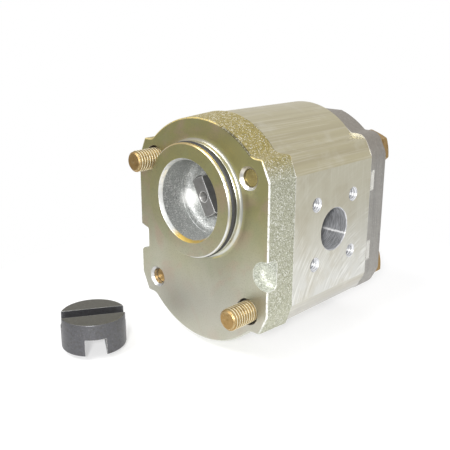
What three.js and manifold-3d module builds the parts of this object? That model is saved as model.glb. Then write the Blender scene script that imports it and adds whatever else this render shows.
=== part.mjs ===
// External gear pump with a direct-mount flange, a tang drive and its loose coupling.
// Units are millimetres. +Y runs along the drive shaft into the pump, +Z is up and +X is the
// suction side. The origin is on the drive shaft's axis, in the plane of the mounting face.

import * as THREE from 'three';
import { mergeVertices } from 'three/addons/utils/BufferGeometryUtils.js';
import Module from 'manifold-3d';

const wasm = await Module();
wasm.setup();

// ---------------------------------------------------------------- driving dimensions

const DEG = Math.PI / 180;
const FINE = 48; // sides of the large turned surfaces
const ROUND = 28; // sides of shafts and bores
const SMALL = 16; // sides of holes, bolts and pins
const TINY = 10; // sides of screw holes and round wires

// stack along the drive axis
const FLANGE_THICKNESS = 17.5;
const BODY_LENGTH = 58.8;
const REAR_THICKNESS = 13.2;
const BODY_FRONT = FLANGE_THICKNESS;
const BODY_BACK = BODY_FRONT + BODY_LENGTH;
const PUMP_BACK = BODY_BACK + REAR_THICKNESS;
const BODY_MIDDLE = (BODY_FRONT + BODY_BACK) / 2;
const PORT_STATION = 47.5; // the ports stand a little behind the gears' middle

// gear pair
const TEETH = 12;
const CENTRE_DISTANCE = 32;
const MODULE = CENTRE_DISTANCE / TEETH;
const PRESSURE_ANGLE = 25 * DEG;
const GEAR_WIDTH = 18.4;
const BACKLASH = 0.3;
const PITCH_RADIUS = CENTRE_DISTANCE / 2;
const TIP_RADIUS = PITCH_RADIUS + MODULE;
const ROOT_RADIUS = PITCH_RADIUS - 1.25 * MODULE;
const MID_HEIGHT = -CENTRE_DISTANCE / 2;
const AXES = { drive: 0, driven: -CENTRE_DISTANCE };

// shafts, bushes and bearing blocks
const SHAFT_RADIUS = 9.85;
const BUSH_BORE = SHAFT_RADIUS + 0.1;
const BUSH_RADIUS = 11.4;
const BLOCK_BORE = BUSH_RADIUS + 0.08;
const CAVITY_RADIUS = TIP_RADIUS + 0.18;
const BLOCK_RADIUS = TIP_RADIUS + 0.03;
const SIDE_CLEARANCE = 0.05;
const BLOCK_LENGTH = 19.8;
const SHAFT_END_CLEARANCE = 0.6;

// tang at the front of the drive shaft
const TANG_TIP = 3;
const TANG_LENGTH = 9;
const TANG_THICKNESS = 7.2;
const TANG_LEAN = 29 * DEG;
const CENTRE_HOLE_RADIUS = 2.2;

// pilot, its O-ring groove and the coupling bore inside it
const PILOT_RADIUS = 26;
const PILOT_HEIGHT = 7.4;
const PILOT_CHAMFER = 0.6;
const GROOVE_FRONT = -5.7;
const GROOVE_BACK = -2.6;
const GROOVE_RADIUS = 23.5;
const PILOT_ROOT_RADIUS = 28.6;
const PILOT_ROOT_RISE = 1.2;
const BORE_RADIUS = 18.2;
const MOUTH_RADIUS = 19.3;
const MOUTH_DEPTH = 2.1;
const BORE_FLOOR = 10;
const SHAFT_HOLE_RADIUS = 10.6;

// shaft seal, fitted from the rear of the mounting flange
const SEAL_POCKET_FRONT = 13.1;
const SEAL_POCKET_RADIUS = 14.6;
const SEAL_RADIUS = 14.45;
const SEAL_CASE_WALL = 0.9;

// fasteners on a 60 mm square
const BOLT_SPACING = 60;
const BOLT_X = BOLT_SPACING / 2;
const BOLT_TOP = MID_HEIGHT + BOLT_SPACING / 2;
const BOLT_BOTTOM = MID_HEIGHT - BOLT_SPACING / 2;
const BOLT_RADIUS = 5;
const BOLT_HOLE_RADIUS = 5.5;
const STUD_HOLE_RADIUS = 5.95;
const TAPPED_HOLE_RADIUS = 4.25;
const HEAD_ACROSS_CORNERS = 19.6;
const HEAD_HEIGHT = 6.4;
const STUD_PROJECTION = 12.6;
const CLAMP_RECESS = { topRight: 2.0, bottomLeft: 3.4 };

// ports on the two sides of the body
const SUCTION = { side: 1, radius: 10, pitchCircle: 40, screwRadius: 2.5, screwDepth: 13 };
const PRESSURE = { side: -1, radius: 7.5, pitchCircle: 35, screwRadius: 2.5, screwDepth: 13 };
const COUNTERSINK_RADIUS = 3.4;

// outlines of the casings, measured from the middle between the two gear axes
const FLANGE_FRONT_OUTLINE = {
  halfWidth: 41.4, arcRadius: 44.2, arcCentre: 8, fillet: 5, shoulder: 38.9,
  cornerX: 37, cornerEnd: 29.8, cornerRadius: 1.2,
};
const FLANGE_BACK_OUTLINE = {
  halfWidth: 41.7, arcRadius: 37.6, arcCentre: 16, fillet: 5, shoulder: 38.8,
  cornerX: 38.2, cornerEnd: 29.4, cornerRadius: 1.2,
};
const BODY_OUTLINE = {
  halfWidth: 41.2, arcRadius: 36.9, arcCentre: 16, fillet: 6, shoulder: 38.4,
  cornerX: 37, cornerEnd: 29.6, cornerRadius: 2,
};
const REAR_OUTLINE = {
  halfWidth: 41.2, arcRadius: 43, arcCentre: 8, fillet: 1.5, shoulder: 40.3,
  cornerX: 36, cornerEnd: 30.4, cornerRadius: 6,
};
const REAR_FLAT = 48.7; // height of the milled flats on the rear cover's top and bottom

// casting notches in the flange's sides and pry slots in the rear cover
const NOTCH_DEPTH = 6;
const NOTCH_MIDDLE = -27;
const NOTCH_LEFT = { width: 5.6, height: 12 };
const NOTCH_RIGHT = { reach: 8.3, height: 13.2 };
const PRY_SLOT = { length: 10, width: 3, depth: 4, offset: 18 };

// seals and centring pins between the casings
const CASING_SEAL = { inner: 20.9, width: 1.9, depth: 1.9, clearance: 0.12 };
const ZONE_SEAL = { inner: 14.6, outer: 16.5, groove: 2.6, mouthHeight: 11 };
const PIN_RADIUS = 3;
const PIN_LENGTH = 12;
const PIN_PLACES = [
  { name: 'left', x: -33, z: -6 },
  { name: 'right', x: 33, z: -26 },
];

// loose coupling, standing on the surface that the pump's lowest point touches
const COUPLING_RADIUS = 15.05;
const COUPLING_HEIGHT = 15.4;
const COUPLING_PLACE = { x: -33.5, y: -36.9 };
const COUPLING_SLOT = { width: 7.5, depth: 5.5, turn: 58.5 * DEG };
const COUPLING_FOOT_SLOT = { width: 9.6, depth: 8 };
const COUPLING_CHAMFER = 0.5;
const GROUND = MID_HEIGHT - FLANGE_BACK_OUTLINE.arcCentre - FLANGE_BACK_OUTLINE.arcRadius;

// ---------------------------------------------------------------- materials

const steel = (color, roughness) => new THREE.MeshStandardMaterial({ color, roughness, metalness: 1 });
const soft = (color, roughness) => new THREE.MeshStandardMaterial({ color, roughness, metalness: 0 });

const finish = {
  chromatedCasting: () => steel(0xb3ad8c, 0.5),
  extrudedAluminium: () => steel(0xb9b4a6, 0.4),
  castAluminium: () => steel(0x8d8d8a, 0.55),
  bearingAluminium: () => steel(0xa9a9a6, 0.4),
  hardenedSteel: () => steel(0x7a7a78, 0.35),
  groundSteel: () => steel(0xa8a8a8, 0.25),
  yellowZinc: () => steel(0x9a763d, 0.35),
  bushLining: () => steel(0x8c7a5a, 0.5),
  sinteredSteel: () => steel(0x5b5b57, 0.6),
  nitrile: () => soft(0x2b2b2b, 0.7),
  backup: () => soft(0xd8d2c2, 0.6),
};

// ---------------------------------------------------------------- solids

// Turns a closed geometry into a solid that can be joined and cut.
function solid(geometry) {
  const bare = geometry.clone();
  bare.deleteAttribute('normal');
  bare.deleteAttribute('uv');
  const merged = mergeVertices(bare, 1e-5);
  const mesh = new wasm.Mesh({
    numProp: 3,
    vertProperties: new Float32Array(merged.attributes.position.array),
    triVerts: new Uint32Array(merged.index.array),
  });
  return new wasm.Manifold(mesh);
}

// Turns a solid back into a geometry.
function geometryOf(body) {
  const mesh = body.getMesh();
  const geometry = new THREE.BufferGeometry();
  geometry.setAttribute('position', new THREE.BufferAttribute(mesh.vertProperties, 3));
  geometry.setIndex(new THREE.BufferAttribute(mesh.triVerts, 1));
  return geometry;
}

const join = (bodies) => bodies.reduce((whole, body) => whole.add(body));
const cut = (body, tools) => tools.reduce((rest, tool) => rest.subtract(tool), body);

// A solid of revolution about Y. The profile holds [radius, y] pairs, counter-clockwise with the
// radius to the right and y up, and starts and ends on the axis.
function turned(profile, sides = ROUND) {
  const points = profile.map(([radius, y]) => new THREE.Vector2(radius, y));
  return solid(new THREE.LatheGeometry(points, sides));
}

// A ring of revolution about Y, whose profile closes on itself.
function ring(profile, sides = ROUND) {
  return turned([...profile, profile[0]], sides);
}

// A round bar along Y.
function bar(radius, front, back, sides = ROUND) {
  return turned([[0, front], [radius, front], [radius, back], [0, back]], sides);
}

// A flat tube along Y.
function sleeve(inner, outer, front, back, sides = ROUND) {
  return ring([[inner, front], [outer, front], [outer, back], [inner, back]], sides);
}

// An outline in the XZ plane given the thickness between two stations on Y.
function slab(points, front, back) {
  const shape = new THREE.Shape(points);
  const geometry = new THREE.ExtrudeGeometry(shape, { depth: back - front, bevelEnabled: false });
  geometry.rotateX(Math.PI / 2);
  geometry.translate(0, back, 0);
  return solid(geometry);
}

// A block between two outlines with the same number of points, clockwise seen from the front, one
// at each of two stations on Y.
function tapered(frontPoints, backPoints, front, back) {
  const count = frontPoints.length;
  const rim = [[frontPoints, front], [backPoints, back]].flatMap(([points, y]) => (
    points.flatMap((p) => [p.x, y, p.y])
  ));
  const faces = THREE.ShapeUtils.triangulateShape(frontPoints, []);
  const frontFaces = faces.flatMap(([a, b, c]) => [a, b, c]);
  const backFaces = THREE.ShapeUtils.triangulateShape(backPoints, [])
    .flatMap(([a, b, c]) => [a + count, c + count, b + count]);
  const sides = frontPoints.flatMap((_, i) => {
    const next = (i + 1) % count;
    return [i, next, i + count, next, next + count, i + count];
  });
  const geometry = new THREE.BufferGeometry();
  geometry.setAttribute('position', new THREE.Float32BufferAttribute(rim, 3));
  geometry.setIndex([...frontFaces, ...backFaces, ...sides]);
  return solid(geometry);
}

function box(width, length, height, x = 0, y = 0, z = 0) {
  const geometry = new THREE.BoxGeometry(width, length, height);
  geometry.translate(x, y, z);
  return solid(geometry);
}

// ---------------------------------------------------------------- outlines

// Points of an arc from one angle to another, both ends included.
function arc(x, z, radius, from, to, steps) {
  const points = [];
  for (let i = 0; i <= steps; i += 1) {
    const angle = from + ((to - from) * i) / steps;
    points.push(new THREE.Vector2(x + radius * Math.cos(angle), z + radius * Math.sin(angle)));
  }
  return points;
}

// Points that round a corner of a polyline with a tangent arc.
function roundedCorner(before, corner, after, radius, steps) {
  const toBefore = before.clone().sub(corner).normalize();
  const toAfter = after.clone().sub(corner).normalize();
  const halfAngle = Math.acos(toBefore.dot(toAfter)) / 2;
  const bisector = toBefore.clone().add(toAfter).normalize();
  const centre = corner.clone().addScaledVector(bisector, radius / Math.sin(halfAngle));
  const start = corner.clone().addScaledVector(toBefore, radius / Math.tan(halfAngle)).sub(centre);
  const end = corner.clone().addScaledVector(toAfter, radius / Math.tan(halfAngle)).sub(centre);
  const sweep = Math.atan2(start.x * end.y - start.y * end.x, start.dot(end));
  return arc(centre.x, centre.y, radius, start.angle(), start.angle() + sweep, steps);
}

// Repeats the upper right quarter of an outline in the other three quarters.
function mirrored(quarter) {
  const flip = (points, sx, sz) => points.map((p) => new THREE.Vector2(sx * p.x, sz * p.y));
  const inner = quarter.slice(1);
  return [
    ...quarter,
    ...flip([...quarter].reverse(), 1, -1),
    ...flip(inner, -1, -1),
    ...flip([...inner].reverse(), -1, 1),
  ];
}

// A casing's outline: a round head over each gear, blended into bolt lugs with bevelled corners.
function casingOutline(form, flatHeight = Infinity) {
  const { halfWidth, arcRadius, arcCentre, fillet, shoulder, cornerX, cornerEnd, cornerRadius } = form;
  const filletZ = shoulder + fillet;
  const filletX = Math.sqrt((arcRadius + fillet) ** 2 - (filletZ - arcCentre) ** 2);
  const meeting = Math.atan2(filletZ - arcCentre, filletX);
  const cornerTop = new THREE.Vector2(cornerX, shoulder);
  const cornerSide = new THREE.Vector2(halfWidth, cornerEnd);
  const shoulderStart = new THREE.Vector2(filletX, shoulder);
  const sideEnd = new THREE.Vector2(halfWidth, 0);
  const head = arc(0, arcCentre, arcRadius, Math.PI / 2, meeting, 10);
  const quarter = [
    ...head,
    ...arc(filletX, filletZ, fillet, meeting + Math.PI, 1.5 * Math.PI, 3).slice(1),
    ...roundedCorner(shoulderStart, cornerTop, cornerSide, cornerRadius, 3),
    ...roundedCorner(cornerTop, cornerSide, sideEnd, cornerRadius, 3),
  ];
  const level = quarter.map((p) => new THREE.Vector2(p.x, Math.min(p.y, flatHeight)));
  return mirrored(level).map((p) => p.add(new THREE.Vector2(0, MID_HEIGHT)));
}

// Two circles around the gear axes, joined where they overlap.
function figureEight(radius, steps) {
  const waist = Math.acos(PITCH_RADIUS / radius);
  const head = arc(0, AXES.drive, radius, -Math.PI / 2 + waist, 1.5 * Math.PI - waist, steps);
  const foot = arc(0, AXES.driven, radius, Math.PI / 2 + waist, 2.5 * Math.PI - waist, steps);
  return [...head, ...foot.slice(1, -1)];
}

// A racetrack around both gear axes.
function racetrack(radius, steps) {
  return [
    ...arc(0, AXES.drive, radius, 0, Math.PI, steps),
    ...arc(0, AXES.driven, radius, Math.PI, 2 * Math.PI, steps),
  ];
}

// ---------------------------------------------------------------- casings

const CORNERS = [
  { x: -BOLT_X, z: BOLT_TOP },
  { x: BOLT_X, z: BOLT_TOP },
  { x: -BOLT_X, z: BOLT_BOTTOM },
  { x: BOLT_X, z: BOLT_BOTTOM },
];

function boltHoles(front, back) {
  return CORNERS.map(({ x, z }) => bar(BOLT_HOLE_RADIUS, front, back, SMALL).translate([x, 0, z]));
}

function pinHoles(face) {
  const reach = PIN_LENGTH / 2 + 0.3;
  return PIN_PLACES.map(({ x, z }) => (
    bar(PIN_RADIUS + 0.05, face - reach, face + reach, SMALL).translate([x, 0, z])
  ));
}

// Racetrack groove for a casing seal, or the seal itself when a clearance is taken off.
function racetrackRing(front, back, clearance) {
  const outer = slab(racetrack(CASING_SEAL.inner + CASING_SEAL.width - clearance, 10), front, back);
  const inner = slab(racetrack(CASING_SEAL.inner + clearance, 10), front - 1, back + 1);
  return outer.subtract(inner);
}

// The pilot stands on the flange with an O-ring groove and a hollow blend at its root.
function pilotBoss() {
  const reach = PILOT_ROOT_RADIUS - PILOT_RADIUS;
  const blend = [0, 30, 60, 90].map((angle) => [
    PILOT_ROOT_RADIUS - reach * Math.cos(angle * DEG),
    -PILOT_ROOT_RISE * (1 - Math.sin(angle * DEG)),
  ]);
  return turned([
    [0, -PILOT_HEIGHT],
    [PILOT_RADIUS - PILOT_CHAMFER, -PILOT_HEIGHT],
    [PILOT_RADIUS, -PILOT_HEIGHT + PILOT_CHAMFER],
    [PILOT_RADIUS, GROOVE_FRONT],
    [GROOVE_RADIUS, GROOVE_FRONT],
    [GROOVE_RADIUS, GROOVE_BACK],
    [PILOT_RADIUS, GROOVE_BACK],
    ...blend,
    [PILOT_ROOT_RADIUS, 1],
    [0, 1],
  ], FINE);
}

// Everything bored along the shaft: the coupling bore, its hollow floor and the seal pocket.
function flangeBore() {
  return turned([
    [0, -PILOT_HEIGHT - 1],
    [MOUTH_RADIUS, -PILOT_HEIGHT - 1],
    [MOUTH_RADIUS, -PILOT_HEIGHT],
    [BORE_RADIUS, -PILOT_HEIGHT + MOUTH_DEPTH],
    [BORE_RADIUS, BORE_FLOOR - 1.5],
    [BORE_RADIUS - 1.8, BORE_FLOOR + 0.4],
    [SHAFT_HOLE_RADIUS, BORE_FLOOR + 1.6],
    [SHAFT_HOLE_RADIUS, SEAL_POCKET_FRONT],
    [SEAL_POCKET_RADIUS, SEAL_POCKET_FRONT],
    [SEAL_POCKET_RADIUS, FLANGE_THICKNESS + 1],
    [0, FLANGE_THICKNESS + 1],
  ], FINE);
}

// A square pocket on the left edge and a scalloped one on the right.
function flangeNotches() {
  const { halfWidth } = FLANGE_FRONT_OUTLINE;
  const left = box(
    2 * NOTCH_LEFT.width, 2 * NOTCH_DEPTH, NOTCH_LEFT.height,
    -halfWidth, 0, NOTCH_MIDDLE,
  );
  const scallopRadius = NOTCH_RIGHT.height / 2;
  const right = bar(scallopRadius, -NOTCH_DEPTH, NOTCH_DEPTH, SMALL)
    .translate([halfWidth - NOTCH_RIGHT.reach + scallopRadius, 0, NOTCH_MIDDLE]);
  return [left, right];
}

function frontCover() {
  const plate = tapered(
    casingOutline(FLANGE_FRONT_OUTLINE), casingOutline(FLANGE_BACK_OUTLINE), 0, FLANGE_THICKNESS,
  );
  const back = FLANGE_THICKNESS + 1;
  const studHoles = [CORNERS[0], CORNERS[3]].map(({ x, z }) => (
    bar(STUD_HOLE_RADIUS, -1, back, SMALL).translate([x, 0, z])
  ));
  const tapped = [
    { ...CORNERS[1], recess: CLAMP_RECESS.topRight },
    { ...CORNERS[2], recess: CLAMP_RECESS.bottomLeft },
  ].map(({ x, z, recess }) => turned([
    [0, -1],
    [TAPPED_HOLE_RADIUS, -1],
    [TAPPED_HOLE_RADIUS, recess - 0.3],
    [BOLT_RADIUS + 0.3, recess + 0.3],
    [BOLT_RADIUS + 0.3, back],
    [0, back],
  ], SMALL).translate([x, 0, z]));
  const groove = racetrackRing(FLANGE_THICKNESS - CASING_SEAL.depth, FLANGE_THICKNESS + 1, 0);
  return geometryOf(cut(plate.add(pilotBoss()), [
    flangeBore(),
    ...studHoles,
    ...tapped,
    ...flangeNotches(),
    ...pinHoles(BODY_FRONT),
    groove,
  ]));
}

// A port: a plain bore into the gear cavity with four tapped, countersunk screw holes around it.
function portTools({ side, radius, pitchCircle, screwRadius, screwDepth }) {
  const face = BODY_OUTLINE.halfWidth;
  const rim = COUNTERSINK_RADIUS - screwRadius;
  const screw = turned([
    [0, -screwDepth - screwRadius],
    [screwRadius, -screwDepth],
    [screwRadius, -rim],
    [COUNTERSINK_RADIUS, 0],
    [COUNTERSINK_RADIUS, 1],
    [0, 1],
  ], TINY);
  const offset = pitchCircle / 2 / Math.SQRT2;
  const screws = [[-1, -1], [1, -1], [-1, 1], [1, 1]].map(([u, v]) => (
    screw.translate([u * offset, face, v * offset])
  ));
  const tools = join([bar(radius, 6, face + 1), ...screws]);
  return tools.rotate([0, 0, -90 * side]).translate([0, PORT_STATION, MID_HEIGHT]);
}

function pumpBody() {
  const block = slab(casingOutline(BODY_OUTLINE), BODY_FRONT, BODY_BACK);
  const cavity = slab(figureEight(CAVITY_RADIUS, 24), BODY_FRONT - 1, BODY_BACK + 1);
  return geometryOf(cut(block, [
    cavity,
    portTools(SUCTION),
    portTools(PRESSURE),
    ...boltHoles(BODY_FRONT - 1, BODY_BACK + 1),
    ...pinHoles(BODY_FRONT),
    ...pinHoles(BODY_BACK),
  ]));
}

function rearCover() {
  const plate = slab(casingOutline(REAR_OUTLINE, REAR_FLAT), BODY_BACK, PUMP_BACK);
  const slots = [-1, 1].flatMap((side) => [-1, 1].map((end) => box(
    2 * PRY_SLOT.depth, 2 * PRY_SLOT.width, PRY_SLOT.length,
    side * REAR_OUTLINE.halfWidth, BODY_BACK, MID_HEIGHT + end * PRY_SLOT.offset,
  )));
  return geometryOf(cut(plate, [
    ...boltHoles(BODY_BACK - 1, PUMP_BACK + 1),
    ...pinHoles(BODY_BACK),
    ...slots,
    racetrackRing(BODY_BACK - 1, BODY_BACK + CASING_SEAL.depth, 0),
  ]));
}

function casingSeal(front) {
  const { clearance, depth } = CASING_SEAL;
  return geometryOf(racetrackRing(front + clearance, front + depth - clearance, clearance));
}

// ---------------------------------------------------------------- gears and shafts

const involute = (angle) => Math.tan(angle) - angle;

// One flank of a tooth centred on the x axis, from root to tip, as [radius, angle] pairs.
function flank() {
  const baseRadius = PITCH_RADIUS * Math.cos(PRESSURE_ANGLE);
  const pitchHalfAngle = Math.PI / (2 * TEETH) - BACKLASH / (4 * PITCH_RADIUS);
  const start = Math.max(baseRadius, ROOT_RADIUS + 0.8);
  const halfAngleAt = (radius) => (
    pitchHalfAngle + involute(PRESSURE_ANGLE) - involute(Math.acos(baseRadius / radius))
  );
  const steps = 3;
  const points = [[ROOT_RADIUS, halfAngleAt(start) + 0.03]];
  for (let i = 0; i <= steps; i += 1) {
    const radius = start + ((TIP_RADIUS - start) * i) / steps;
    points.push([radius, halfAngleAt(radius)]);
  }
  return points;
}

// The toothed wheel, with the middle of a tooth at the given angle in the XZ plane.
function toothedWheel(firstTooth) {
  const side = flank();
  const points = [];
  for (let tooth = 0; tooth < TEETH; tooth += 1) {
    const middle = firstTooth + (tooth * 2 * Math.PI) / TEETH;
    const rising = side.map(([radius, half]) => [radius, middle - half]);
    const falling = [...side].reverse().map(([radius, half]) => [radius, middle + half]);
    [...rising, ...falling].forEach(([radius, angle]) => {
      points.push(new THREE.Vector2(radius * Math.cos(angle), radius * Math.sin(angle)));
    });
  }
  return slab(points, BODY_MIDDLE - GEAR_WIDTH / 2, BODY_MIDDLE + GEAR_WIDTH / 2);
}

const SHAFT_BACK = BODY_BACK - SHAFT_END_CLEARANCE;
const END_CHAMFER = 0.8;

function shaftBar(front, back) {
  return turned([
    [0, front],
    [SHAFT_RADIUS - END_CHAMFER, front],
    [SHAFT_RADIUS, front + END_CHAMFER],
    [SHAFT_RADIUS, back - END_CHAMFER],
    [SHAFT_RADIUS - END_CHAMFER, back],
    [0, back],
  ]);
}

// The drive gear and its shaft are one forging, with a tang milled across the front end.
function driveGearShaft() {
  const flatWidth = SHAFT_RADIUS;
  const flats = [-1, 1].map((side) => box(
    flatWidth, 2 * TANG_LENGTH, 3 * SHAFT_RADIUS,
    side * (TANG_THICKNESS + flatWidth) / 2, TANG_TIP, 0,
  ).rotate([0, -TANG_LEAN / DEG, 0]));
  const centreHole = turned([
    [0, TANG_TIP - 1],
    [CENTRE_HOLE_RADIUS, TANG_TIP - 1],
    [CENTRE_HOLE_RADIUS, TANG_TIP],
    [0, TANG_TIP + 1.7 * CENTRE_HOLE_RADIUS],
  ], TINY);
  const shaft = shaftBar(TANG_TIP, SHAFT_BACK).add(toothedWheel(-Math.PI / 2));
  return geometryOf(cut(shaft, [...flats, centreHole]));
}

// The driven gear has a gap where the drive gear has a tooth.
function drivenGearShaft() {
  const shaft = shaftBar(BODY_FRONT + SHAFT_END_CLEARANCE, SHAFT_BACK);
  return geometryOf(shaft.add(toothedWheel(Math.PI / 2 + Math.PI / TEETH)));
}

// ---------------------------------------------------------------- bearings and inner seals

const BLOCK_INNER = GEAR_WIDTH / 2 + SIDE_CLEARANCE; // from the gears' middle
const BLOCK_OUTER = BLOCK_INNER + BLOCK_LENGTH;

// Two rings around the journals joined at the waist and open towards the suction port.
function zoneStrip(inner, outer, front, back) {
  const rings = Object.values(AXES).map((z) => sleeve(inner, outer, front, back).translate([0, 0, z]));
  const mouth = [AXES.drive, AXES.driven].map((z) => box(
    2 * outer, 3 * (back - front), ZONE_SEAL.mouthHeight, outer, (front + back) / 2, z,
  ));
  return cut(join(rings), mouth);
}

// A bearing block fills both gear bores between a gear face and a cover. It is modelled as the
// rear one, with its sealing groove facing +Y, and turned about for the front.
function bearingBlock() {
  const block = slab(figureEight(BLOCK_RADIUS, 16), BLOCK_INNER, BLOCK_OUTER);
  const bores = Object.values(AXES).map((z) => (
    bar(BLOCK_BORE, BLOCK_INNER - 1, BLOCK_OUTER + 1).translate([0, 0, z])
  ));
  const groove = zoneStrip(
    ZONE_SEAL.inner, ZONE_SEAL.outer, BLOCK_OUTER - ZONE_SEAL.groove, BLOCK_OUTER + 1,
  );
  return cut(block, [...bores, groove]);
}

const STRIP_CLEARANCE = 0.12;

function backupStrip() {
  const floor = BLOCK_OUTER - ZONE_SEAL.groove;
  return zoneStrip(
    ZONE_SEAL.inner + STRIP_CLEARANCE, ZONE_SEAL.outer - STRIP_CLEARANCE,
    floor + 0.05, floor + 0.85,
  );
}

function zoneSeal() {
  const floor = BLOCK_OUTER - ZONE_SEAL.groove;
  return zoneStrip(
    ZONE_SEAL.inner + STRIP_CLEARANCE, ZONE_SEAL.outer - STRIP_CLEARANCE,
    floor + 0.9, BLOCK_OUTER + 0.25,
  );
}

// Places a rear-facing inner piece at the front or the rear of the gears.
function atEnd(body, end) {
  const facing = end === 'rear' ? body : body.mirror([0, 1, 0]);
  return geometryOf(facing.translate([0, BODY_MIDDLE, 0]));
}

function bush() {
  return geometryOf(sleeve(BUSH_BORE, BUSH_RADIUS, -BLOCK_LENGTH / 2, BLOCK_LENGTH / 2));
}

// ---------------------------------------------------------------- shaft seal

const SEAL_FRONT = SEAL_POCKET_FRONT + 0.15;
const SEAL_BACK = FLANGE_THICKNESS - 0.2;
const SEAL_WALL_INNER = SEAL_RADIUS - SEAL_CASE_WALL;

function shaftSealCase() {
  return geometryOf(ring([
    [SHAFT_HOLE_RADIUS + 0.4, SEAL_FRONT],
    [SEAL_RADIUS, SEAL_FRONT],
    [SEAL_RADIUS, SEAL_BACK],
    [SEAL_WALL_INNER, SEAL_BACK],
    [SEAL_WALL_INNER, SEAL_FRONT + SEAL_CASE_WALL],
    [SHAFT_HOLE_RADIUS + 0.4, SEAL_FRONT + SEAL_CASE_WALL],
  ]));
}

// The rubber lip bears on the shaft and carries the garter spring in a groove on its back.
const SPRING_RADIUS = 11.9;
const SPRING_WIRE = 0.55;

function shaftSealLip() {
  const front = SEAL_FRONT + SEAL_CASE_WALL + 0.05;
  const pocket = SPRING_WIRE + 0.12;
  return geometryOf(ring([
    [SHAFT_RADIUS + 0.12, front + 0.8],
    [SHAFT_RADIUS + 0.8, front],
    [SEAL_WALL_INNER - 0.05, front],
    [SEAL_WALL_INNER - 0.05, front + 1.2],
    [SPRING_RADIUS + pocket, front + 1.2],
    [SPRING_RADIUS + pocket, front + 1.0],
    [SPRING_RADIUS - pocket, front + 1.0],
    [SPRING_RADIUS - pocket, SEAL_BACK - 0.4],
    [SHAFT_RADIUS + 0.12, SEAL_BACK - 0.4],
  ]));
}

function shaftSealSpring() {
  const geometry = new THREE.TorusGeometry(SPRING_RADIUS, SPRING_WIRE, 6, ROUND);
  geometry.rotateX(Math.PI / 2);
  return geometryOf(solid(geometry));
}

const O_RING_WIRE = 1.3;
const O_RING_LIFT = 0.2; // clearance over the groove's floor

function pilotORing() {
  const middle = GROOVE_RADIUS + O_RING_LIFT + O_RING_WIRE;
  const geometry = new THREE.TorusGeometry(middle, O_RING_WIRE, 8, 36);
  geometry.rotateX(Math.PI / 2);
  return geometryOf(solid(geometry));
}

// ---------------------------------------------------------------- fasteners and coupling

// A hexagon bolt whose head bears on the plane y = 0 and whose shank points to -Y.
function hexBolt(length, headTurn) {
  const head = new THREE.CylinderGeometry(HEAD_ACROSS_CORNERS / 2, HEAD_ACROSS_CORNERS / 2, HEAD_HEIGHT, 6);
  head.rotateY(Math.PI / 2 - headTurn * DEG);
  head.translate(0, HEAD_HEIGHT / 2, 0);
  const shank = turned([
    [0, -length],
    [BOLT_RADIUS - 1, -length],
    [BOLT_RADIUS, -length + 1],
    [BOLT_RADIUS, 1],
    [0, 1],
  ], SMALL);
  return geometryOf(solid(head).add(shank));
}

function pin() {
  return geometryOf(bar(PIN_RADIUS, -PIN_LENGTH / 2, PIN_LENGTH / 2, SMALL));
}

// A disc with crossed slots: one takes the tang, the other the driving dog.
function driveCoupling() {
  const disc = turned([
    [0, 0],
    [COUPLING_RADIUS - COUPLING_CHAMFER, 0],
    [COUPLING_RADIUS, COUPLING_CHAMFER],
    [COUPLING_RADIUS, COUPLING_HEIGHT - COUPLING_CHAMFER],
    [COUPLING_RADIUS - COUPLING_CHAMFER, COUPLING_HEIGHT],
    [0, COUPLING_HEIGHT],
  ], FINE).rotate([90, 0, 0]);
  const reach = 3 * COUPLING_RADIUS;
  const topSlot = box(reach, COUPLING_SLOT.width, 2 * COUPLING_SLOT.depth, 0, 0, COUPLING_HEIGHT);
  const footSlot = box(COUPLING_FOOT_SLOT.width, reach, 2 * COUPLING_FOOT_SLOT.depth);
  return geometryOf(cut(disc, [topSlot, footSlot]));
}

// ---------------------------------------------------------------- assembly

const pump = new THREE.Group();

function piece(name, geometry, material, x = 0, y = 0, z = 0) {
  const mesh = new THREE.Mesh(geometry, material);
  mesh.name = name;
  mesh.position.set(x, y, z);
  return mesh;
}

// casings
pump.add(
  piece('front_cover', frontCover(), finish.chromatedCasting()),
  piece('pump_body', pumpBody(), finish.extrudedAluminium()),
  piece('rear_cover', rearCover(), finish.castAluminium()),
);

// gears with their shafts
pump.add(
  piece('drive_gear_shaft', driveGearShaft(), finish.hardenedSteel()),
  piece('driven_gear_shaft', drivenGearShaft(), finish.hardenedSteel(), 0, 0, AXES.driven),
);

// bearing blocks with their bushes and sealing strips, at both ends of the gears
for (const end of ['front', 'rear']) {
  const middle = BODY_MIDDLE + (end === 'rear' ? 1 : -1) * (BLOCK_INNER + BLOCK_LENGTH / 2);
  pump.add(
    piece(`${end}_bearing_block`, atEnd(bearingBlock(), end), finish.bearingAluminium()),
    piece(`${end}_zone_seal`, atEnd(zoneSeal(), end), finish.nitrile()),
    piece(`${end}_backup_strip`, atEnd(backupStrip(), end), finish.backup()),
  );
  for (const [shaft, z] of Object.entries(AXES)) {
    pump.add(piece(`${end}_${shaft}_bush`, bush(), finish.bushLining(), 0, middle, z));
  }
}

// seals between the casings, at the shaft and on the pilot
pump.add(
  piece('front_casing_seal', casingSeal(FLANGE_THICKNESS - CASING_SEAL.depth), finish.nitrile()),
  piece('rear_casing_seal', casingSeal(BODY_BACK), finish.nitrile()),
  piece('shaft_seal_case', shaftSealCase(), finish.groundSteel()),
  piece('shaft_seal_lip', shaftSealLip(), finish.nitrile()),
  piece('shaft_seal_spring', shaftSealSpring(), finish.groundSteel(), 0, SEAL_BACK - 1.2, 0),
  piece('pilot_o_ring', pilotORing(), finish.nitrile(), 0, (GROOVE_FRONT + GROOVE_BACK) / 2, 0),
);

// centring pins at both joints
for (const [joint, face] of [['front', BODY_FRONT], ['rear', BODY_BACK]]) {
  for (const { name, x, z } of PIN_PLACES) {
    pump.add(piece(`${joint}_pin_${name}`, pin(), finish.groundSteel(), x, face, z));
  }
}

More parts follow.
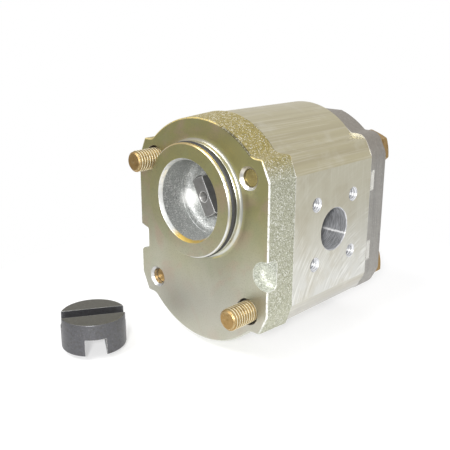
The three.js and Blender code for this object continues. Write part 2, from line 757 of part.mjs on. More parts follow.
// two long bolts that fasten the pump to its engine, and two that clamp it together
const BOLTS = [
  { name: 'mounting_bolt_top_left', corner: CORNERS[0], tip: -STUD_PROJECTION, headTurn: 12 },
  { name: 'clamp_bolt_top_right', corner: CORNERS[1], tip: CLAMP_RECESS.topRight, headTurn: 40 },
  { name: 'clamp_bolt_bottom_left', corner: CORNERS[2], tip: CLAMP_RECESS.bottomLeft, headTurn: 25 },
  { name: 'mounting_bolt_bottom_right', corner: CORNERS[3], tip: -STUD_PROJECTION, headTurn: 38 },
];
for (const { name, corner, tip, headTurn } of BOLTS) {
  const geometry = hexBolt(PUMP_BACK - tip, headTurn);
  pump.add(piece(name, geometry, finish.yellowZinc(), corner.x, PUMP_BACK, corner.z));
}

// the coupling stands beside the pump, turned about its upright axis
const coupling = new THREE.Group();
coupling.position.set(COUPLING_PLACE.x, COUPLING_PLACE.y, GROUND);
coupling.rotation.z = COUPLING_SLOT.turn;
coupling.add(piece('drive_coupling', driveCoupling(), finish.sinteredSteel()));
pump.add(coupling);

export default pump;
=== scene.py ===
"""Looks of an external gear pump with a loose drive coupling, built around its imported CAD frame."""

from math import acos, atan2, cos, hypot, pi, radians, sin, sqrt, tan

import bmesh
import bpy
from mathutils import Matrix, Vector


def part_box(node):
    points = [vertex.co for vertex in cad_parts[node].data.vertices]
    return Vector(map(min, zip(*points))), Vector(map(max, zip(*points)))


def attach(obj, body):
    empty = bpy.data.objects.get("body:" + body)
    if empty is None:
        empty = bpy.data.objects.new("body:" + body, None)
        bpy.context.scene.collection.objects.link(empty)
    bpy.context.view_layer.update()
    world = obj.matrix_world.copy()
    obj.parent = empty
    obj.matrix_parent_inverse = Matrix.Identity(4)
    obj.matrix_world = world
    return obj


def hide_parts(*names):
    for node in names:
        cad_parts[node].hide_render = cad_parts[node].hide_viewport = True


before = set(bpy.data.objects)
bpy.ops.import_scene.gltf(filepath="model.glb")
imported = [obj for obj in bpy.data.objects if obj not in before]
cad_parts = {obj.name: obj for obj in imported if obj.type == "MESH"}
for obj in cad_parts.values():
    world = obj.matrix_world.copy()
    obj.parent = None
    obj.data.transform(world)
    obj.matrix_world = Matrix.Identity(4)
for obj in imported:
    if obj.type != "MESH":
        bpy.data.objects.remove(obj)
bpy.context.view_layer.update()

# ---- sizes, in millimetres

MM = 0.001


def node_box(node):
    low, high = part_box(node)
    return low / MM, high / MM


FLANGE_BACK = node_box("pump_body")[0].y
BODY_BACK = node_box("pump_body")[1].y
PUMP_BACK = node_box("rear_cover")[1].y
GEAR_MIDDLE = (FLANGE_BACK + BODY_BACK) / 2
GROUND = node_box("drive_coupling")[0].z
HALF_BODY = node_box("pump_body")[1].x
HALF_FLANGE = node_box("front_cover")[1].x
FLANGE_DRAFT = 0.3
HALF_FACE = HALF_FLANGE - FLANGE_DRAFT
FLANGE_FACE_EDGE = 0.6
FLANGE_BACK_EDGE = 0.8
CENTRE_DISTANCE = 32.0
MID_HEIGHT = -CENTRE_DISTANCE / 2

PILOT_RADIUS = 26.0
PILOT_HEIGHT = -node_box("front_cover")[0].y
GROOVE = (-5.7, -2.6)
GROOVE_RADIUS = 23.5
PILOT_ROOT_RADIUS = 28.8
PILOT_ROOT_RISE = 1.2
BORE_RADIUS = 18.2
MOUTH_RADIUS = 19.1
MOUTH_DEPTH = 1.8
BOWL_START = 6.4
BOWL_ROUND = 4.0
SEAT_RADIUS = 12.2
SHAFT_HOLE_RADIUS = 10.6
SEAL_POCKET = (13.1, 14.6)
SHAFT_RADIUS = 9.85
TANG_TIP = node_box("drive_gear_shaft")[0].y
TANG_LENGTH = 9.0
TANG_THICKNESS = 7.2
TANG_LEAN = radians(29)

BOLT_RADIUS = 5.0
BOLT_HOLE_RADIUS = 5.5
FLANGE_HOLE_RADIUS = 5.95
RUN_OUT_RADIUS = 5.3
THREAD_PITCH = 1.5
THREAD_DEPTH = 0.9
THREADED_LENGTH = 28.0
TAPPED_RADIUS = 4.0
COUNTERSINK_RADIUS = 5.2
HEAD_FLATS = 17.0
HEAD_HEIGHT = 6.4

# Each port's bore radius, and the diameter of its screws' pitch circle.
SUCTION_PORT = (10.0, 40.0)
PRESSURE_PORT = (7.5, 35.0)
PORT_STATION = 47.5
PORT_SCREW_RADIUS = 2.9

# Each pry slot in the rear cover, and its middle's distance from mid height.
PRY_LENGTH = 10.0
PRY_WIDTH = 3.0
PRY_DEPTH = 4.0
PRY_OFFSET = 18.0

NOTCH_DEPTH = 6.0
NOTCH_MIDDLE = -27.0

TEETH = 12
MODULE = CENTRE_DISTANCE / TEETH
PRESSURE_ANGLE = radians(25)
GEAR_WIDTH = 18.4
CHAMBER_RADIUS = 18.85

# Each slot of the coupling, as its width and depth.
TANG_SLOT = (7.5, 5.5)
DOG_SLOT = (9.6, 8.0)
COUPLING_TURN = radians(58.5)


def screw_offset(pitch_circle):
    """Half the side of the square that four screws make on their pitch circle."""
    return pitch_circle / 2 / sqrt(2)


# ---- mesh tools

def weld(bm):
    bmesh.ops.remove_doubles(bm, verts=bm.verts, dist=1e-4)
    bmesh.ops.dissolve_degenerate(bm, edges=bm.edges, dist=1e-5)


def piece_from(name, bm):
    """A linked object holding a closed mesh with its faces pointing out."""
    weld(bm)
    bmesh.ops.recalc_face_normals(bm, faces=bm.faces)
    if bm.calc_volume(signed=True) < 0:
        bmesh.ops.reverse_faces(bm, faces=bm.faces)
    mesh = bpy.data.meshes.new(name)
    bm.to_mesh(mesh)
    bm.free()
    obj = bpy.data.objects.new(name, mesh)
    bpy.context.scene.collection.objects.link(obj)
    return obj


def turned_vertex(bm, radius, y, angle):
    """A vertex at a radius and an angle around the Y axis."""
    return bm.verts.new((radius * cos(angle), y, radius * sin(angle)))


def bridge(bm, lower, upper):
    """Faces between two rings of vertices. A ring of one vertex is a point."""
    count = max(len(lower), len(upper))
    for i in range(count):
        j = (i + 1) % count
        spots = ((lower, i), (lower, j), (upper, j), (upper, i))
        corners = [ring[k % len(ring)] for ring, k in spots]
        unique = list(dict.fromkeys(corners))
        if len(unique) > 2:
            bm.faces.new(unique)


def revolve(profile, sides, closed=False):
    """A solid turned about Y.

    The profile holds (radius, y) pairs and runs from the axis back to the axis, or closes on itself.
    """
    bm = bmesh.new()
    rings = []
    for radius, y in profile:
        steps = sides if radius > 1e-6 else 1
        turns = [2 * pi * i / steps for i in range(steps)]
        rings.append([turned_vertex(bm, radius, y, angle) for angle in turns])
    pairs = list(zip(rings, rings[1:]))
    if closed:
        pairs.append((rings[-1], rings[0]))
    for lower, upper in pairs:
        bridge(bm, lower, upper)
    return piece_from("turned", bm)


def polar(radius, angle, x=0.0, z=0.0):
    return Vector((x + radius * cos(angle), z + radius * sin(angle)))


def arc(x, z, radius, start, end, steps):
    """Points of an arc, both ends included."""
    return [polar(radius, start + (end - start) * i / steps, x, z) for i in range(steps + 1)]


def box_outline(left, right, low, high):
    """A rectangle's corners, counter-clockwise whichever way left and right are given."""
    left, right = sorted((left, right))
    return [Vector(corner) for corner in ((left, low), (right, low), (right, high), (left, high))]


def inset(points, distance):
    """The outline moved inwards by a distance, for points that run counter-clockwise."""
    shifted = []
    for i, point in enumerate(points):
        before = (point - points[i - 1]).normalized()
        after = (points[(i + 1) % len(points)] - point).normalized()
        outward = Vector((before.y + after.y, -before.x - after.x)).normalized()
        spread = max(0.3, outward.dot(Vector((before.y, -before.x))))
        shifted.append(point - outward * distance / spread)
    return shifted


def prism(points, front, back, front_edge=0.0, back_edge=0.0, steps=3, back_points=None):
    """An XZ outline given thickness along Y, with rounded edges of the stated radii.

    A second outline with the same number of points makes the sides taper towards the back.
    """
    bm = bmesh.new()
    levels = []
    for edge, face, inward in ((front_edge, front, 1), (back_edge, back, -1)):
        turns = [pi / 2 * i / steps for i in range(steps + 1)] if edge else [pi / 2]
        rounded = [(edge * (1 - sin(a)), face + inward * edge * (1 - cos(a))) for a in turns]
        levels.append(rounded if inward > 0 else rounded[::-1])
    rings = []
    for depth, y in levels[0] + levels[1]:
        share = (y - front) / (back - front)
        outline = [p.lerp(q, share) for p, q in zip(points, back_points or points)]
        if depth:
            outline = inset(outline, depth)
        rings.append([bm.verts.new((p.x, y, p.y)) for p in outline])
    for lower, upper in zip(rings, rings[1:]):
        bridge(bm, lower, upper)
    bm.faces.new(rings[0])
    bm.faces.new(rings[-1])
    return piece_from("slab", bm)


def place(obj, matrix):
    obj.data.transform(matrix)
    return obj


def moved(obj, x, y, z):
    return place(obj, Matrix.Translation((x, y, z)))


def apply_modifiers(obj):
    graph = bpy.context.evaluated_depsgraph_get()
    mesh = bpy.data.meshes.new_from_object(obj.evaluated_get(graph))
    obj.modifiers.clear()
    old = obj.data
    obj.data = mesh
    bpy.data.meshes.remove(old)


def combine(obj, tools, operation):
    """Joins or cuts with each tool in turn, and uses the tools up."""
    for tool in tools:
        boolean = obj.modifiers.new("shape", "BOOLEAN")
        boolean.operation = operation
        boolean.solver = "EXACT"
        boolean.object = tool
        apply_modifiers(obj)
        bpy.data.objects.remove(tool)
    return obj


def cut(obj, *tools):
    return combine(obj, tools, "DIFFERENCE")


def join(obj, *tools):
    return combine(obj, tools, "UNION")


def round_edges(obj, width):
    bevel = obj.modifiers.new("edges", "BEVEL")
    bevel.width = width
    bevel.segments = 2
    bevel.limit_method = "ANGLE"
    bevel.angle_limit = radians(50)
    bevel.miter_outer = "MITER_ARC"
    apply_modifiers(obj)
    return obj


def finish_piece(obj, name, body, nodes, materials, rule=None, sharp=35):
    """Scales a piece to metres, shades it, gives it its materials and puts it in place of CAD nodes."""
    obj.name = name
    mesh = obj.data
    mesh.materials.clear()
    for material in materials:
        mesh.materials.append(material)
    for polygon in mesh.polygons:
        polygon.use_smooth = True
        polygon.material_index = rule(polygon.center, polygon.normal) if rule else 0
    mesh.transform(Matrix.Scale(MM, 4))
    mesh.set_sharp_from_angle(angle=radians(sharp))
    weighted = obj.modifiers.new("normals", "WEIGHTED_NORMAL")
    weighted.keep_sharp = True
    apply_modifiers(obj)
    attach(obj, body)
    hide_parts(*nodes)
    return obj


# ---- outlines

def rounded_corner(before, corner, after, radius, steps):
    """Points that round a polyline's corner with a tangent arc."""
    to_before = (before - corner).normalized()
    to_after = (after - corner).normalized()
    half = to_before.angle(to_after) / 2
    centre = corner + (to_before + to_after).normalized() * radius / sin(half)
    start = corner + to_before * radius / tan(half) - centre
    end = corner + to_after * radius / tan(half) - centre
    sweep = atan2(start.x * end.y - start.y * end.x, start.dot(end))
    first = atan2(start.y, start.x)
    return arc(centre.x, centre.y, radius, first, first + sweep, steps)


def casing_outline(half_width, radius, centre, fillet, shoulder, corner_x, corner_end, corner_radius,
                   flat=None):
    """Counter-clockwise outline: a round head over each gear, blended into lugs with bevelled corners.

    Heights are from the middle of the pump. A flat cuts the round heads off at its height.
    """
    blend_z = shoulder + fillet
    blend_x = sqrt((radius + fillet) ** 2 - (blend_z - centre) ** 2)
    meeting = atan2(blend_z - centre, blend_x)
    corner_top = Vector((corner_x, shoulder))
    corner_side = Vector((half_width, corner_end))
    quarter = arc(0, centre, radius, pi / 2, meeting, 28)
    quarter += arc(blend_x, blend_z, fillet, meeting + pi, 1.5 * pi, 8)[1:]
    quarter += rounded_corner(Vector((blend_x, shoulder)), corner_top, corner_side, corner_radius, 5)
    quarter += rounded_corner(corner_top, corner_side, Vector((half_width, 0)), corner_radius, 5)
    if flat is not None:
        edge = sqrt(radius ** 2 - (flat - centre) ** 2)
        gap = 0.4
        below = [p for p in quarter if p.y < flat - gap]
        quarter = [Vector((0, flat)), Vector((edge, flat))] + below
    right = quarter + [Vector((p.x, -p.y)) for p in reversed(quarter)]
    left = [Vector((-p.x, p.y)) for p in reversed(right[1:-1])]
    outline = [p + Vector((0, MID_HEIGHT)) for p in right + left]
    return outline[::-1]


def figure_eight(radius, steps):
    """Two circles around the gear axes, joined where they overlap."""
    waist = acos(CENTRE_DISTANCE / 2 / radius)
    head = arc(0, 0, radius, -pi / 2 + waist, 1.5 * pi - waist, steps)
    foot = arc(0, -CENTRE_DISTANCE, radius, pi / 2 + waist, 2.5 * pi - waist, steps)
    return head + foot[1:-1]


FLANGE_FRONT_OUTLINE = casing_outline(HALF_FACE, radius=44.2, centre=8, fillet=5, shoulder=38.9,
                                      corner_x=37, corner_end=29.8, corner_radius=1.2)
FLANGE_BACK_OUTLINE = casing_outline(HALF_FLANGE, radius=37.6, centre=16, fillet=5, shoulder=38.8,
                                     corner_x=38.2, corner_end=29.4, corner_radius=1.2)
BODY_OUTLINE = casing_outline(HALF_BODY, radius=36.9, centre=16, fillet=6, shoulder=38.4,
                              corner_x=37, corner_end=29.6, corner_radius=2)
REAR_OUTLINE = casing_outline(HALF_BODY, radius=43, centre=8, fillet=1.5, shoulder=40.3,
                              corner_x=36, corner_end=30.4, corner_radius=6, flat=48.7)


# ---- material tools

def feed(tree, target, inputs):
    """Gives a node's inputs their numbers and colours, or links them to other nodes' outputs."""
    for key, value in inputs.items():
        socket = target.inputs[key]
        if isinstance(value, bpy.types.NodeSocket):
            tree.links.new(value, socket)
        else:
            socket.default_value = value


def node(tree, kind, inputs=None, **settings):
    made = tree.nodes.new("ShaderNode" + kind)
    for key, value in settings.items():
        setattr(made, key, value)
    feed(tree, made, inputs or {})
    return made


def ramp_node(tree, value, low, high, bottom, top):
    """Maps low..high to bottom..top, held at the ends."""
    inputs = {"Value": value, "From Min": low, "From Max": high, "To Min": bottom, "To Max": top}
    return node(tree, "MapRange", inputs, interpolation_type="SMOOTHSTEP").outputs[0]


def rgb(red, green, blue):
    """A linear colour from display values between 0 and 255."""
    def linear(value):
        share = value / 255
        return share / 12.92 if share <= 0.04045 else ((share + 0.055) / 1.055) ** 2.4
    return (linear(red), linear(green), linear(blue), 1.0)


class Surface:
    """A metal or rubber surface whose colour, roughness, metallic share and bump are built up in layers.

    A value that no layer changes is set on the shader's own socket.
    """

    def __init__(self, name, colour, roughness, metallic=1.0):
        self.material = bpy.data.materials.new(name)
        self.material.use_nodes = True
        self.tree = self.material.node_tree
        self.place = node(self.tree, "TexCoord").outputs["Object"]
        self.colour = colour
        self.roughness = roughness
        self.metallic = metallic
        self.normal = None

    def mapped(self, scale=(1, 1, 1), turn=(0, 0, 0)):
        inputs = {"Vector": self.place, "Scale": scale, "Rotation": turn}
        return node(self.tree, "Mapping", inputs).outputs[0]

    def noise(self, size, detail, stretch=(1, 1, 1), turn=(0, 0, 0), distortion=0.0, rough=0.5):
        """Noise with features about size millimetres across."""
        inputs = {"Vector": self.mapped(stretch, turn), "Scale": 1 / (size * MM), "Detail": detail,
                  "Roughness": rough, "Distortion": distortion}
        return node(self.tree, "TexNoise", inputs).outputs["Fac"]

    def cells(self, size):
        """A pattern of cells about size millimetres across."""
        inputs = {"Vector": self.place, "Scale": 1 / (size * MM)}
        return node(self.tree, "TexVoronoi", inputs)

    def grains(self, size):
        """A random value for each cell."""
        colour = self.cells(size).outputs["Color"]
        return node(self.tree, "SeparateColor", {0: colour}).outputs[0]

    def ramp(self, value, low, high, bottom=0.0, top=1.0):
        return ramp_node(self.tree, value, low, high, bottom, top)

    def maths(self, operation, a, b=0.0, c=0.0):
        return node(self.tree, "Math", {0: a, 1: b, 2: c}, operation=operation).outputs[0]

    def both(self, mask, other):
        return self.maths("MULTIPLY", mask, other)

    def apart(self, value, other):
        return self.maths("ABSOLUTE", self.maths("SUBTRACT", value, other))

    def axes(self):
        """Position in millimetres, as three sockets."""
        return node(self.tree, "SeparateXYZ", {0: self.mapped((1 / MM,) * 3)}).outputs[:3]

    def tint(self, mask, colour):
        inputs = {"Factor": mask, "A": self.colour, "B": colour}
        self.colour = node(self.tree, "Mix", inputs, data_type="RGBA").outputs["Result"]

    def fade(self, colour, value, low, high, amount=1.0):
        """Tints by a share that grows from none to the amount as the value goes from low to high."""
        self.tint(self.ramp(value, low, high, 0, amount), colour)

    def mottle(self, colour, size, detail, low, high, amount, **shape):
        """Tints the patches where a noise is high."""
        self.fade(colour, self.noise(size, detail, **shape), low, high, amount)

    def roughen(self, mask, amount):
        """Adds amount times the mask to the roughness."""
        self.roughness = self.maths("MULTIPLY_ADD", mask, amount, self.roughness)

    def dull(self, mask, amount):
        """Takes amount times the mask off the metallic share."""
        less = self.maths("MULTIPLY_ADD", mask, -amount, self.metallic)
        self.metallic = self.maths("MAXIMUM", less, 0.0)

    def distance(self, u, v, centre_u, centre_v):
        """Distance in millimetres from a line along the third axis."""
        spot = node(self.tree, "CombineXYZ", {0: u, 1: v}).outputs[0]
        inputs = {0: spot, 1: (centre_u, centre_v, 0)}
        return node(self.tree, "VectorMath", inputs, operation="DISTANCE").outputs["Value"]

    def sweeps(self, u, v, centre_u, centre_v, size):
        """Irregular lines that run in arcs around a centre, about size millimetres apart."""
        du = self.maths("SUBTRACT", u, centre_u)
        dv = self.maths("SUBTRACT", v, centre_v)
        turn = self.maths("MULTIPLY", self.maths("ARCTAN2", dv, du), 3.0)
        inputs = {0: self.distance(u, v, centre_u, centre_v), 1: turn}
        place = node(self.tree, "CombineXYZ", inputs).outputs[0]
        inputs = {"Vector": place, "Scale": 1 / size, "Detail": 3.0}
        return node(self.tree, "TexNoise", inputs).outputs["Fac"]

    def bump(self, height, distance, strength):
        inputs = {"Height": height, "Distance": distance * MM, "Strength": strength}
        if self.normal:
            inputs["Normal"] = self.normal
        self.normal = node(self.tree, "Bump", inputs).outputs[0]

    def edges(self, radius):
        """A mask that is 1 on edges sharper than the radius."""
        soft = node(self.tree, "Bevel", {"Radius": radius * MM}, samples=6).outputs[0]
        true = node(self.tree, "NewGeometry").outputs["Normal"]
        along = node(self.tree, "VectorMath", {0: soft, 1: true}, operation="DOT_PRODUCT")
        return self.ramp(along.outputs["Value"], 0.995, 0.9)

    def done(self):
        layers = {"Base Color": self.colour, "Roughness": self.roughness, "Metallic": self.metallic}
        if self.normal:
            layers["Normal"] = self.normal
        feed(self.tree, self.tree.nodes["Principled BSDF"], layers)
        return self.material


# ---- materials

# Places, heights and grain sizes are in millimetres, and amounts are shares of 1.
WHITE = rgb(250, 250, 248)
OLIVE = rgb(182, 177, 124)
PALE_OLIVE = rgb(204, 203, 188)
GOLD = rgb(206, 176, 96)
PINK = rgb(204, 176, 158)
GREEN = rgb(176, 184, 146)


def chromated_face():
    """Machined, zinc plated and chromated: olive above, paler below, with a faint drift of colour; the
    change with height is partly the plating and partly a painted reflection.
    """
    s = Surface("chromated_face", PALE_OLIVE, 0.36)
    across, _, height = s.axes()
    drift = s.maths("MULTIPLY_ADD", s.noise(24, 3), 50, height)
    # Olive above: partly the plating's colour, partly a painted reflection of the dark room.
    s.fade(OLIVE, drift, -34, 46)
    s.mottle(PINK, 14, 4, 0.46, 0.7, 0.5, distortion=0.6)
    s.mottle(GREEN, 10, 4, 0.5, 0.7, 0.25, turn=(0.4, 0.2, 0))
    # Greyer low down: partly the plating's colour, partly a painted reflection of the pale floor.
    s.fade(rgb(178, 176, 165), height, -30, -56, 0.7)
    s.dull(s.ramp(s.distance(across, height, -2, -44), 24, 4), 0.25)
    s.roughen(s.noise(5, 4), 0.16)
    s.mottle(rgb(150, 146, 124), 0.7, 4, 0.46, 0.7, 0.35, rough=0.7)
    # Painted highlight: a pale arc around the pilot's root, low on its right.
    from_pilot = s.distance(across, height, 0, 0)
    highlight_rim = s.both(s.ramp(from_pilot, 27.0, 27.6), s.ramp(from_pilot, 28.4, 27.8))
    low_right = s.both(s.ramp(across, 8, 10), s.ramp(height, -23, -24.5))
    s.tint(s.both(highlight_rim, low_right), rgb(214, 204, 150))
    s.bump(s.noise(0.45, 2), 0.02, 0.5)
    s.bump(s.noise(6, 3), 0.06, 0.4)
    return s.done()


def cast_skin(name, colour, top_colour, dark, roughness=0.34):
    """Rough cast skin under the plating: coarse grains whose palest ones are painted glints, in another
    colour on top, with edges tinted white as wear and painted highlight.
    """
    s = Surface(name, colour, roughness)
    height = s.axes()[2]
    s.fade(top_colour, height, 12, 26)
    grain = s.noise(0.55, 3, rough=0.65)
    grain_and_glint = s.grains(0.42)
    s.fade(dark, grain, 0.5, 0.68, 0.45)
    # Painted glints: the palest grains are tinted white.
    s.fade(WHITE, grain_and_glint, 0.76, 0.96, 0.55)
    s.fade(dark, grain_and_glint, 0.3, 0.05, 0.4)
    s.roughen(s.noise(0.5, 2), 0.2)
    s.dull(s.ramp(grain_and_glint, 0.6, 0.9), 0.35)
    s.bump(grain, 0.3, 1.0)
    s.bump(s.cells(0.7).outputs["Distance"], 0.2, 0.8)
    s.bump(s.noise(4, 3), 0.4, 0.5)
    # Edges tinted white: partly edge wear, partly a painted highlight.
    s.tint(s.edges(0.6), WHITE)
    return s.done()


def painted_edge_highlight():
    """The casting's edge bevels, painted as highlights: white, golden above, with one dark stretch of
    painted shade, and greyer at the very bottom.
    """
    s = Surface("painted_edge_highlight", rgb(240, 240, 236), 0.34, metallic=0.7)
    across, _, height = s.axes()
    # Painted highlight: the edge bevels are white, turning golden above.
    s.fade(rgb(222, 200, 128), height, 16, 24)
    # Painted shade: one dark stretch along the upper right of the arc.
    stretch = s.both(s.ramp(across, 8, 16), s.ramp(across, 33, 30))
    s.tint(s.both(stretch, s.ramp(height, 21, 24)), rgb(84, 78, 56))
    s.mottle(rgb(166, 164, 144), 0.9, 4, 0.46, 0.66, 0.75)
    s.fade(rgb(176, 178, 166), height, -44, -54, 0.8)
    s.dull(s.ramp(height, 24, 16), 0.25)
    s.roughen(s.noise(1.0, 3), 0.2)
    s.bump(s.noise(0.7, 3), 0.15, 0.8)
    return s.done()


def blasted_bore():
    """Shot-blasted, with a painted highlight deep down on its left, painted glints on its palest grains,
    and painted shade towards its top.
    """
    s = Surface("blasted_bore", rgb(178, 180, 178), 0.4, metallic=0.8)
    across, along, height = s.axes()
    grain = s.noise(0.5, 3)
    grain_and_glint = s.grains(0.45)
    s.fade(rgb(118, 120, 118), grain, 0.46, 0.66, 0.6)
    # Painted glints: the palest grains are tinted white.
    s.fade(WHITE, grain_and_glint, 0.7, 0.95, 0.5)
    # Painted highlight: a white patch deep down on the bowl's left.
    spot = s.ramp(s.distance(across, height, -15, -4), 6.0, 0.5)
    painted_highlight = s.both(spot, s.ramp(along, 3.5, 8))
    s.tint(painted_highlight, WHITE)
    s.dull(painted_highlight, 0.5)
    # Painted shade: darker towards the top of the bore.
    s.fade(rgb(130, 132, 126), height, 4, 16, 0.35)
    s.roughen(grain, 0.16)
    s.bump(grain, 0.2, 1.0)
    s.bump(s.noise(3, 2), 0.15, 0.4)
    return s.done()


def turned_bright(name, colour, metallic, gold=0.75):
    """A freshly turned land, chamfer or lip, with fine rings, and golden towards the top."""
    s = Surface(name, colour, 0.24, metallic)
    height = s.axes()[2]
    rings = s.noise(0.5, 2, stretch=(0.1, 3, 0.1))
    s.mottle(rgb(214, 204, 168), 6, 3, 0.52, 0.7, 0.3)
    s.fade(GOLD, height, 12, 26, gold)
    s.roughen(rings, 0.2)
    s.bump(rings, 0.03, 0.6)
    return s.done()


def mouth_chamfer():
    """A white chamfer, golden low down on its right."""
    s = Surface("mouth_chamfer", rgb(226, 227, 224), 0.3, metallic=0.75)
    across, _, height = s.axes()
    low = s.both(s.ramp(height, -13, -17), s.ramp(across, -12, -6))
    s.tint(low, rgb(216, 184, 96))
    s.mottle(rgb(190, 190, 186), 1.6, 3, 0.5, 0.7, 0.4)
    s.roughen(s.noise(0.8, 2), 0.2)
    s.bump(s.noise(0.5, 2), 0.04, 0.6)
    return s.done()


def drawn_aluminium():
    """The extruded skin: fine lines along the pump."""
    s = Surface("drawn_aluminium", rgb(196, 188, 158), 0.3)
    s.fade(rgb(206, 206, 204), s.axes()[2], -30, -56)
    lines = s.noise(0.7, 4, stretch=(1, 0.015, 1))
    bands = s.noise(4.5, 3, stretch=(1, 0.02, 1))
    s.fade(rgb(176, 166, 140), bands, 0.42, 0.66, 0.4)
    s.fade(rgb(232, 228, 214), lines, 0.5, 0.7, 0.3)
    s.mottle(rgb(226, 224, 214), 9, 4, 0.5, 0.75, 0.25)
    s.roughen(lines, 0.16)
    s.bump(lines, 0.05, 0.8)
    s.bump(bands, 0.1, 0.5)
    return s.done()


def milled_side():
    """A side face cut with a large cutter, whose shallow arcs fan out across its lower rear part."""
    s = Surface("milled_side", rgb(208, 204, 184), 0.32)
    _, along, height = s.axes()
    below = s.both(s.ramp(height, 6, -34), s.ramp(s.noise(11, 3), 0.36, 0.6))
    share = s.maths("MAXIMUM", below, 0.14)
    cutter = (84, -69)
    marks = s.sweeps(along, height, *cutter, 1.2)
    fine = s.sweeps(along, height, *cutter, 0.5)
    s.fade(rgb(216, 216, 212), height, 10, -52)
    s.mottle(rgb(190, 182, 158), 12, 4, 0.45, 0.7, 0.4)
    s.tint(s.both(s.ramp(marks, 0.5, 0.66, 0, 0.45), share), WHITE)
    s.tint(s.both(s.ramp(marks, 0.46, 0.3, 0, 0.35), share), rgb(168, 164, 148))
    s.tint(s.both(s.ramp(fine, 0.52, 0.66, 0, 0.5), share), rgb(236, 236, 230))
    streaks = s.noise(1.1, 3, stretch=(1, 1, 0.08))
    s.fade(rgb(228, 226, 214), streaks, 0.5, 0.72, 0.25)
    s.roughen(s.noise(0.6, 3), 0.18)
    s.bump(s.both(marks, share), 0.05, 0.7)
    s.bump(fine, 0.02, 0.6)
    s.bump(s.noise(0.45, 2), 0.02, 0.4)
    return s.done()


def cast_aluminium():
    s = Surface("cast_aluminium", rgb(164, 161, 156), 0.46, metallic=0.8)
    height = s.axes()[2]
    grain = s.noise(0.5, 3)
    streaks = s.noise(1.3, 3, stretch=(1, 1, 0.05))
    s.fade(rgb(142, 141, 138), streaks, 0.45, 0.65, 0.5)
    s.mottle(rgb(192, 191, 186), 10, 4, 0.5, 0.75, 0.3)
    s.fade(rgb(210, 210, 206), s.grains(0.5), 0.8, 0.98, 0.3)
    s.fade(rgb(138, 128, 116), height, 4, 22, 0.5)
    s.roughen(grain, 0.2)
    s.bump(grain, 0.08, 0.8)
    s.bump(streaks, 0.06, 0.5)
    s.tint(s.edges(0.4), rgb(214, 214, 210))
    return s.done()


def machined_aluminium(name="machined_aluminium", metallic=0.85):
    s = Surface(name, rgb(214, 213, 208), 0.3, metallic)
    s.roughen(s.noise(0.7, 3), 0.18)
    s.mottle(rgb(184, 182, 174), 5, 3, 0.45, 0.7, 0.3)
    turning = s.noise(0.6, 3, stretch=(2, 0.2, 0.2))
    s.fade(WHITE, turning, 0.5, 0.7, 0.5)
    s.bump(turning, 0.05, 0.7)
    return s.done()


def port_bore():
    """The ports and their screw holes, with fine rings and a painted highlight, a bright streak low in
    each of them.
    """
    s = Surface("port_bore", rgb(186, 187, 189), 0.3, metallic=0.7)
    _, along, height = s.axes()
    rings = s.noise(0.6, 4, stretch=(2.2, 0.15, 0.15))
    # Painted highlight: a white streak along each bore, a little below its middle.
    from_port = s.apart(height, MID_HEIGHT - 4.2)
    from_screws = s.apart(s.apart(height, MID_HEIGHT - 1.0), screw_offset(SUCTION_PORT[1]))
    highlight_streak = s.maths("MULTIPLY_ADD", s.noise(1.2, 2), 0.8, s.maths("MINIMUM", from_port, from_screws))
    around = s.distance(along, height, PORT_STATION, MID_HEIGHT)
    s.dull(s.ramp(around, SUCTION_PORT[0] + 1, SUCTION_PORT[0] + 2), 0.35)
    s.fade(rgb(238, 239, 242), rings, 0.44, 0.6, 0.7)
    s.fade(rgb(120, 122, 126), rings, 0.46, 0.34, 0.5)
    s.fade(WHITE, highlight_streak, 1.1, 0.5, 0.85)
    s.dull(s.ramp(highlight_streak, 1.1, 0.5), 0.5)
    s.roughen(rings, 0.16)
    s.bump(rings, 0.08, 0.8)
    return s.done()


def yellow_zinc(name, colour, dark, roughness, metallic=0.9):
    """Plated bolts: ochre with browner patches and bare, shiny edges."""
    s = Surface(name, colour, roughness, metallic)
    s.mottle(dark, 2.2, 4, 0.48, 0.7, 0.6)
    s.mottle(rgb(206, 192, 150), 1.3, 3, 0.55, 0.75, 0.4, turn=(0.5, 0, 0.3))
    s.roughen(s.noise(0.8, 3), 0.2)
    s.bump(s.noise(0.5, 3), 0.05, 0.6)
    s.tint(s.edges(0.25), rgb(232, 220, 182))
    return s.done()


def hardened_steel():
    s = Surface("hardened_steel", rgb(146, 145, 143), 0.34, metallic=0.85)
    s.mottle(rgb(124, 122, 118), 3, 4, 0.45, 0.7, 0.4)
    s.mottle(rgb(100, 98, 96), 0.5, 2, 0.55, 0.75, 0.3)
    s.roughen(s.noise(0.8, 3), 0.2)
    s.bump(s.noise(0.5, 2, stretch=(1, 0.2, 1)), 0.04, 0.6)
    # Painted highlight: the edges are tinted white and made less metallic.
    highlight_rim = s.edges(0.7)
    s.tint(highlight_rim, WHITE)
    s.dull(highlight_rim, 0.5)
    return s.done()


def sintered_steel():
    """Steam-treated sintered steel: dark, faintly olive on its upper end, with fine pores."""
    s = Surface("sintered_steel", rgb(98, 98, 101), 0.3, metallic=0.9)
    top = node_box("drive_coupling")[1].z
    s.fade(rgb(102, 99, 86), s.axes()[2], top - 0.2, top - 0.02, 0.8)
    s.mottle(rgb(84, 82, 78), 1.6, 4, 0.45, 0.7, 0.45)
    s.mottle(rgb(62, 62, 60), 0.45, 2, 0.58, 0.72, 0.5)
    s.fade(rgb(140, 140, 140), s.grains(0.4), 0.9, 0.98, 0.25)
    s.roughen(s.noise(0.9, 3), 0.2)
    s.bump(s.noise(0.4, 3), 0.05, 0.6)
    # Painted highlight: the disc's edges are tinted pale grey.
    s.tint(s.edges(0.45), rgb(196, 196, 196))
    return s.done()


